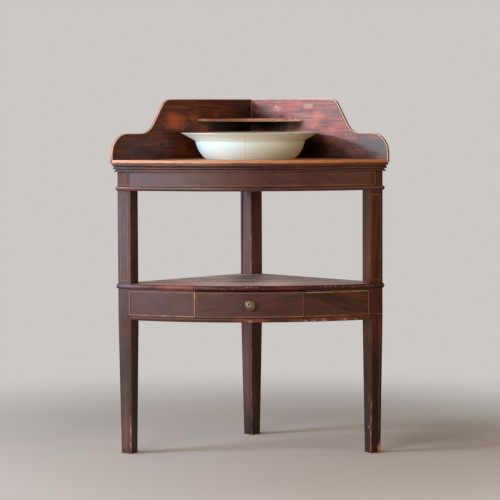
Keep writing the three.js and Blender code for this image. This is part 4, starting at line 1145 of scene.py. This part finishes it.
class WASHSTAND_OT_soap_shelf(bpy.types.Operator):
    """Builds the corner shelf with its worn front edge"""
    bl_idname = "washstand.soap_shelf"
    bl_label = "Soap shelf"

    def execute(self, context):
        colours = context.scene.washstand_colours
        low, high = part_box("soap_shelf")
        front, bare = low.y + 12 * MM, colours.mahogany_bare
        wood = polished_mahogany(
            "Mahogany shelf, worn front edge", carcase_tones(), FLAT_GRAIN,
            rubbed=(colours.mahogany_oiled, 1.0),
            patches=spread(lambda x, y: Vector((x, y, high.z)), [
                (0.11, front, 0.140, bare, 1.0), (0.14, front, 0.035, colours.arris_pale, 0.9),
                (-0.08, front, 0.060, colours.mahogany, 0.5),
                (-0.135, front, 0.018, colours.arris_pale, 0.6)]))
        shelf = new_piece(
            "soap_shelf_worn", soap_shelf_shape(), [wood], "stand", 40)
        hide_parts("soap_shelf")
        return {"FINISHED"}


class WASHSTAND_OT_drawer(bpy.types.Operator):
    """Finishes the drawer front and sets the old pin beside its knob"""
    bl_idname = "washstand.drawer"
    bl_label = "Drawer front"

    def execute(self, context):
        sizes, colours = context.scene.washstand_sizes, context.scene.washstand_colours
        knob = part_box("drawer_knob")[0].z + sizes.knob_radius
        # grime serves the dark marks and the knob's painted shadow
        grime, pin = colours.black_stain_and_shadow, (-sizes.pin_aside, sizes.pin_height)
        front = polished_mahogany(
            "Polished mahogany, drawer front", front_tones(), LEVEL_GRAIN, -0.15, streaks=0.4,
            patches=spread(on_front, [
                # The first patch is the knob's painted shadow, to its right and below it; the pin's
                # dark ring and a speck are marks in the wood
                (0.008, knob - 3 * MM, 0.020, grime, 0.75), (*pin, 0.011, grime, 0.95),
                (-0.018, 0.428, 0.004, grime, 0.8)]))
        edge = rubbed_arris(
            "Mahogany, drawer arris", colours.mahogany_dark, colours.mahogany_red, 0.5)
        dress(["drawer_front"], [front, edge], sizes.fine_arris)
        middle = on_front(*pin, -1 * MM)
        brass = tarnished_brass(
            "Tarnished brass, pin", colours.brass, colours.brass_dark, middle.y - 2 * MM)
        radius = sizes.pin_radius
        shape = turned_shape(
            [(0, 0), (radius, 0), (radius, 1.1 * MM), (0.6 * radius, 1.4 * MM), (0, 1.5 * MM)],
            20, middle, "Y")
        new_piece("drawer_pin", shape, [brass], "drawer", 40)
        return {"FINISHED"}


class WASHSTAND_OT_stringing(bpy.types.Operator):
    """Lays the boxwood strings into the frieze, apron, drawer and legs"""
    bl_idname = "washstand.stringing"
    bl_label = "Inlaid strings"

    def execute(self, context):
        sizes, colours = context.scene.washstand_sizes, context.scene.washstand_colours
        bright = boxwood_inlay("Boxwood string, clean", colours.boxwood, colours.boxwood_dirty)
        dull = boxwood_inlay(
            "Boxwood string, under old polish", colours.boxwood_old, colours.boxwood_dirty)
        grey = boxwood_inlay(
            "Boxwood string, under bloomed polish", colours.boxwood_grey, colours.boxwood_dirty)
        wide, fine = sizes.wide_string, sizes.fine_string
        inner = leg_axes(1)[2].x
        frieze_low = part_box("frieze")[0].z + sizes.frieze_string_rise
        frieze_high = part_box("top_moulding")[0].z - 3 * MM
        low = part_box("right_apron_panel")[0].z + sizes.apron_string_rise
        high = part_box("right_apron_panel")[1].z - sizes.apron_string_drop
        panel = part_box("right_apron_panel")[0].x
        bay_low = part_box("shelf_nosing")[1].z + sizes.leg_string_gap - 2 * MM
        bay_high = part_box("frieze_bead")[0].z - sizes.leg_string_gap - 2 * MM

        frieze = bmesh.new()
        end = sizes.frieze_string_end
        for height in (frieze_low, frieze_high):
            add_bow_level(frieze, -inner, inner, height, fine)
            for side in (-1, 1):
                add_leg_string(frieze, side, [(0.0, height), (end, height)], fine)
        for side in (-1, 1):
            add_leg_string(frieze, side, [(end, frieze_low), (end, frieze_high)], fine)
        new_piece("frieze_strings", frieze, [dull], "stand")

        # Left panel: clean along its foot and beside the drawer, grey elsewhere. Right panel: clean
        # along its top and ends, and dull where its lower string nears the leg.
        clean, dirty, greyed = bmesh.new(), bmesh.new(), bmesh.new()
        start = sizes.panel_string_left
        add_leg_string(clean, -1, [(0.0, low), (start, low)], wide)
        add_bow_level(clean, -inner, -panel, low, wide)
        add_bow_upright(clean, -panel - 2.2 * MM, 1.4 * wide, low, high)
        add_leg_string(greyed, -1, [(start, low), (start, high)], wide)
        add_leg_string(greyed, -1, [(0.0, high), (start, high)], wide)
        add_bow_level(greyed, -inner, -panel, high, wide)
        faded = inner - 60 * MM
        add_bow_level(clean, panel, inner - 4 * MM, high, wide)
        add_bow_upright(clean, inner - 4 * MM, wide, low, high)
        add_bow_level(clean, panel, faded, low, wide)
        add_bow_level(dirty, faded, inner, low, fine)
        add_leg_string(dirty, 1, [(0.0, low), (sizes.leg_width, low)], fine)
        new_piece("apron_strings", clean, [bright], "stand")
        new_piece("apron_strings_dull", dirty, [dull], "stand")
        new_piece("apron_strings_grey", greyed, [grey], "stand")

        clean, dirty, greyed = bmesh.new(), bmesh.new(), bmesh.new()
        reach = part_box("drawer_front")[1].x - sizes.drawer_string_inset
        add_bow_level(greyed, -reach, reach, high, fine)
        add_bow_level(dirty, -reach, -0.3 * reach, low, fine)
        add_bow_level(clean, -0.3 * reach, reach, low, fine)
        for side in (-1, 1):
            add_bow_upright(dirty, side * reach, fine, low, high)
        new_piece("drawer_string", clean, [bright], "drawer")
        new_piece("drawer_strings_dull", dirty, [dull], "drawer")
        new_piece("drawer_strings_grey", greyed, [grey], "drawer")

        legs, low_left = bmesh.new(), bmesh.new()
        for side, inset in ((-1, sizes.leg_string_left), (1, sizes.leg_string_right)):
            outer = sizes.leg_width - sizes.leg_string_outer
            for height in (bay_low, bay_high):
                add_leg_string(legs, side, [(inset, height), (outer, height)], fine)
            for aside in (inset, outer):
                add_leg_string(legs, side, leg_string_ends(aside, bay_low, bay_high), fine)
            for aside in (inset, outer):
                add_leg_string(low_left if side < 0 else legs, side, leg_string_ends(
                    aside, 40 * MM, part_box("apron_rail")[0].z), fine)
        new_piece("leg_strings", legs, [dull], "stand")
        black = boxwood_inlay(
            "Boxwood string, blackened", colours.boxwood_dirty, colours.mahogany, 0.5)
        new_piece("leg_strings_black", low_left, [black], "stand")
        return {"FINISHED"}


class WASHSTAND_OT_knob(bpy.types.Operator):
    """Builds the stamped brass knob"""
    bl_idname = "washstand.knob"
    bl_label = "Drawer knob"

    def execute(self, context):
        colours = context.scene.washstand_colours
        low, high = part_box("drawer_knob")
        middle = Vector(((low.x + high.x) / 2, high.y, (low.z + high.z) / 2))
        length = high.y - low.y
        shape = turned_shape(knob_profile(length), 64, middle, "Y")
        stamp_flower(shape, middle, length)
        brass = tarnished_brass(
            "Tarnished brass, knob", colours.brass, colours.brass_dark, low.y)
        knob = new_piece("stamped_knob", shape, [brass], "drawer", 50)
        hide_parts("drawer_knob")
        return {"FINISHED"}


class WASHSTAND_OT_basin(bpy.types.Operator):
    """Turns the glazed basin with its foot and flared rim"""
    bl_idname = "washstand.basin"
    bl_label = "Basin"

    def execute(self, context):
        colours = context.scene.washstand_colours
        low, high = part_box("basin")
        middle = Vector(((low.x + high.x) / 2, (low.y + high.y) / 2, low.z))
        shape = turned_shape(basin_profile(high.z - low.z), 128, middle)
        glaze = glazed_creamware(
            "Glazed creamware", colours.creamware, colours.creamware_warm,
            colours.creamware_worn, colours.crack_dirt)
        basin = new_piece("turned_basin", shape, [glaze], "basin", 50)
        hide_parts("basin")
        return {"FINISHED"}


class WASHSTAND_OT_hidden_parts(bpy.types.Operator):
    """Finishes the pine drawer box and bearers, the nails and the knob's screw"""
    bl_idname = "washstand.hidden_parts"
    bl_label = "Drawer box, bearers and iron"

    def execute(self, context):
        sizes, colours = context.scene.washstand_sizes, context.scene.washstand_colours
        pine = sawn_pine("Pine, sawn and planed", colours.deal, colours.deal_dark)
        woods = ["drawer_back", "drawer_bottom"]
        irons = ["knob_screw"]
        for side in ("right", "left"):
            woods += [f"{side}_drawer_{part}" for part in (
                "side", "runner", "guide", "kicker", "stop")]
            woods += [f"{side}_upper_block_{index}" for index in (1, 2, 3)]
            woods += [f"{side}_lower_block_{index}" for index in (1, 2)]
            irons += [f"{side}_gallery_nail_{index}" for index in (1, 2, 3)]
        dress(woods, [pine, pine], sizes.fine_arris)
        iron = rusted_iron("Iron, rusted", colours.iron, colours.rust)
        dress(irons, [iron, iron], 0.1 * MM)
        return {"FINISHED"}


class WASHSTAND_PT_panel(bpy.types.Panel):
    """Lists the washstand's operators and settings"""
    bl_idname = "WASHSTAND_PT_panel"
    bl_label = "Corner washstand"
    bl_space_type = "VIEW_3D"
    bl_region_type = "UI"
    bl_category = "Washstand"

    def draw(self, context):
        layout = self.layout
        for operator in OPERATORS:
            layout.operator(operator.bl_idname)
        for group in (context.scene.washstand_sizes, context.scene.washstand_colours):
            box = layout.box()
            for name in group.__annotations__:
                box.prop(group, name)


OPERATORS = (
    WASHSTAND_OT_stage, WASHSTAND_OT_carcase, WASHSTAND_OT_top, WASHSTAND_OT_soap_shelf,
    WASHSTAND_OT_drawer, WASHSTAND_OT_stringing, WASHSTAND_OT_knob, WASHSTAND_OT_basin,
    WASHSTAND_OT_hidden_parts)
CLASSES = (WashstandSizes, WashstandColours, *OPERATORS, WASHSTAND_PT_panel)


def register():
    for each in CLASSES:
        bpy.utils.register_class(each)
    bpy.types.Scene.washstand_sizes = bpy.props.PointerProperty(type=WashstandSizes)
    bpy.types.Scene.washstand_colours = bpy.props.PointerProperty(type=WashstandColours)


def unregister():
    del bpy.types.Scene.washstand_colours
    del bpy.types.Scene.washstand_sizes
    for each in reversed(CLASSES):
        bpy.utils.unregister_class(each)


def main():
    register()
    for operator in OPERATORS:
        family, name = operator.bl_idname.split(".")
        getattr(getattr(bpy.ops, family), name)()
    bpy.context.view_layer.update()


if __name__ == "__main__":
    main()
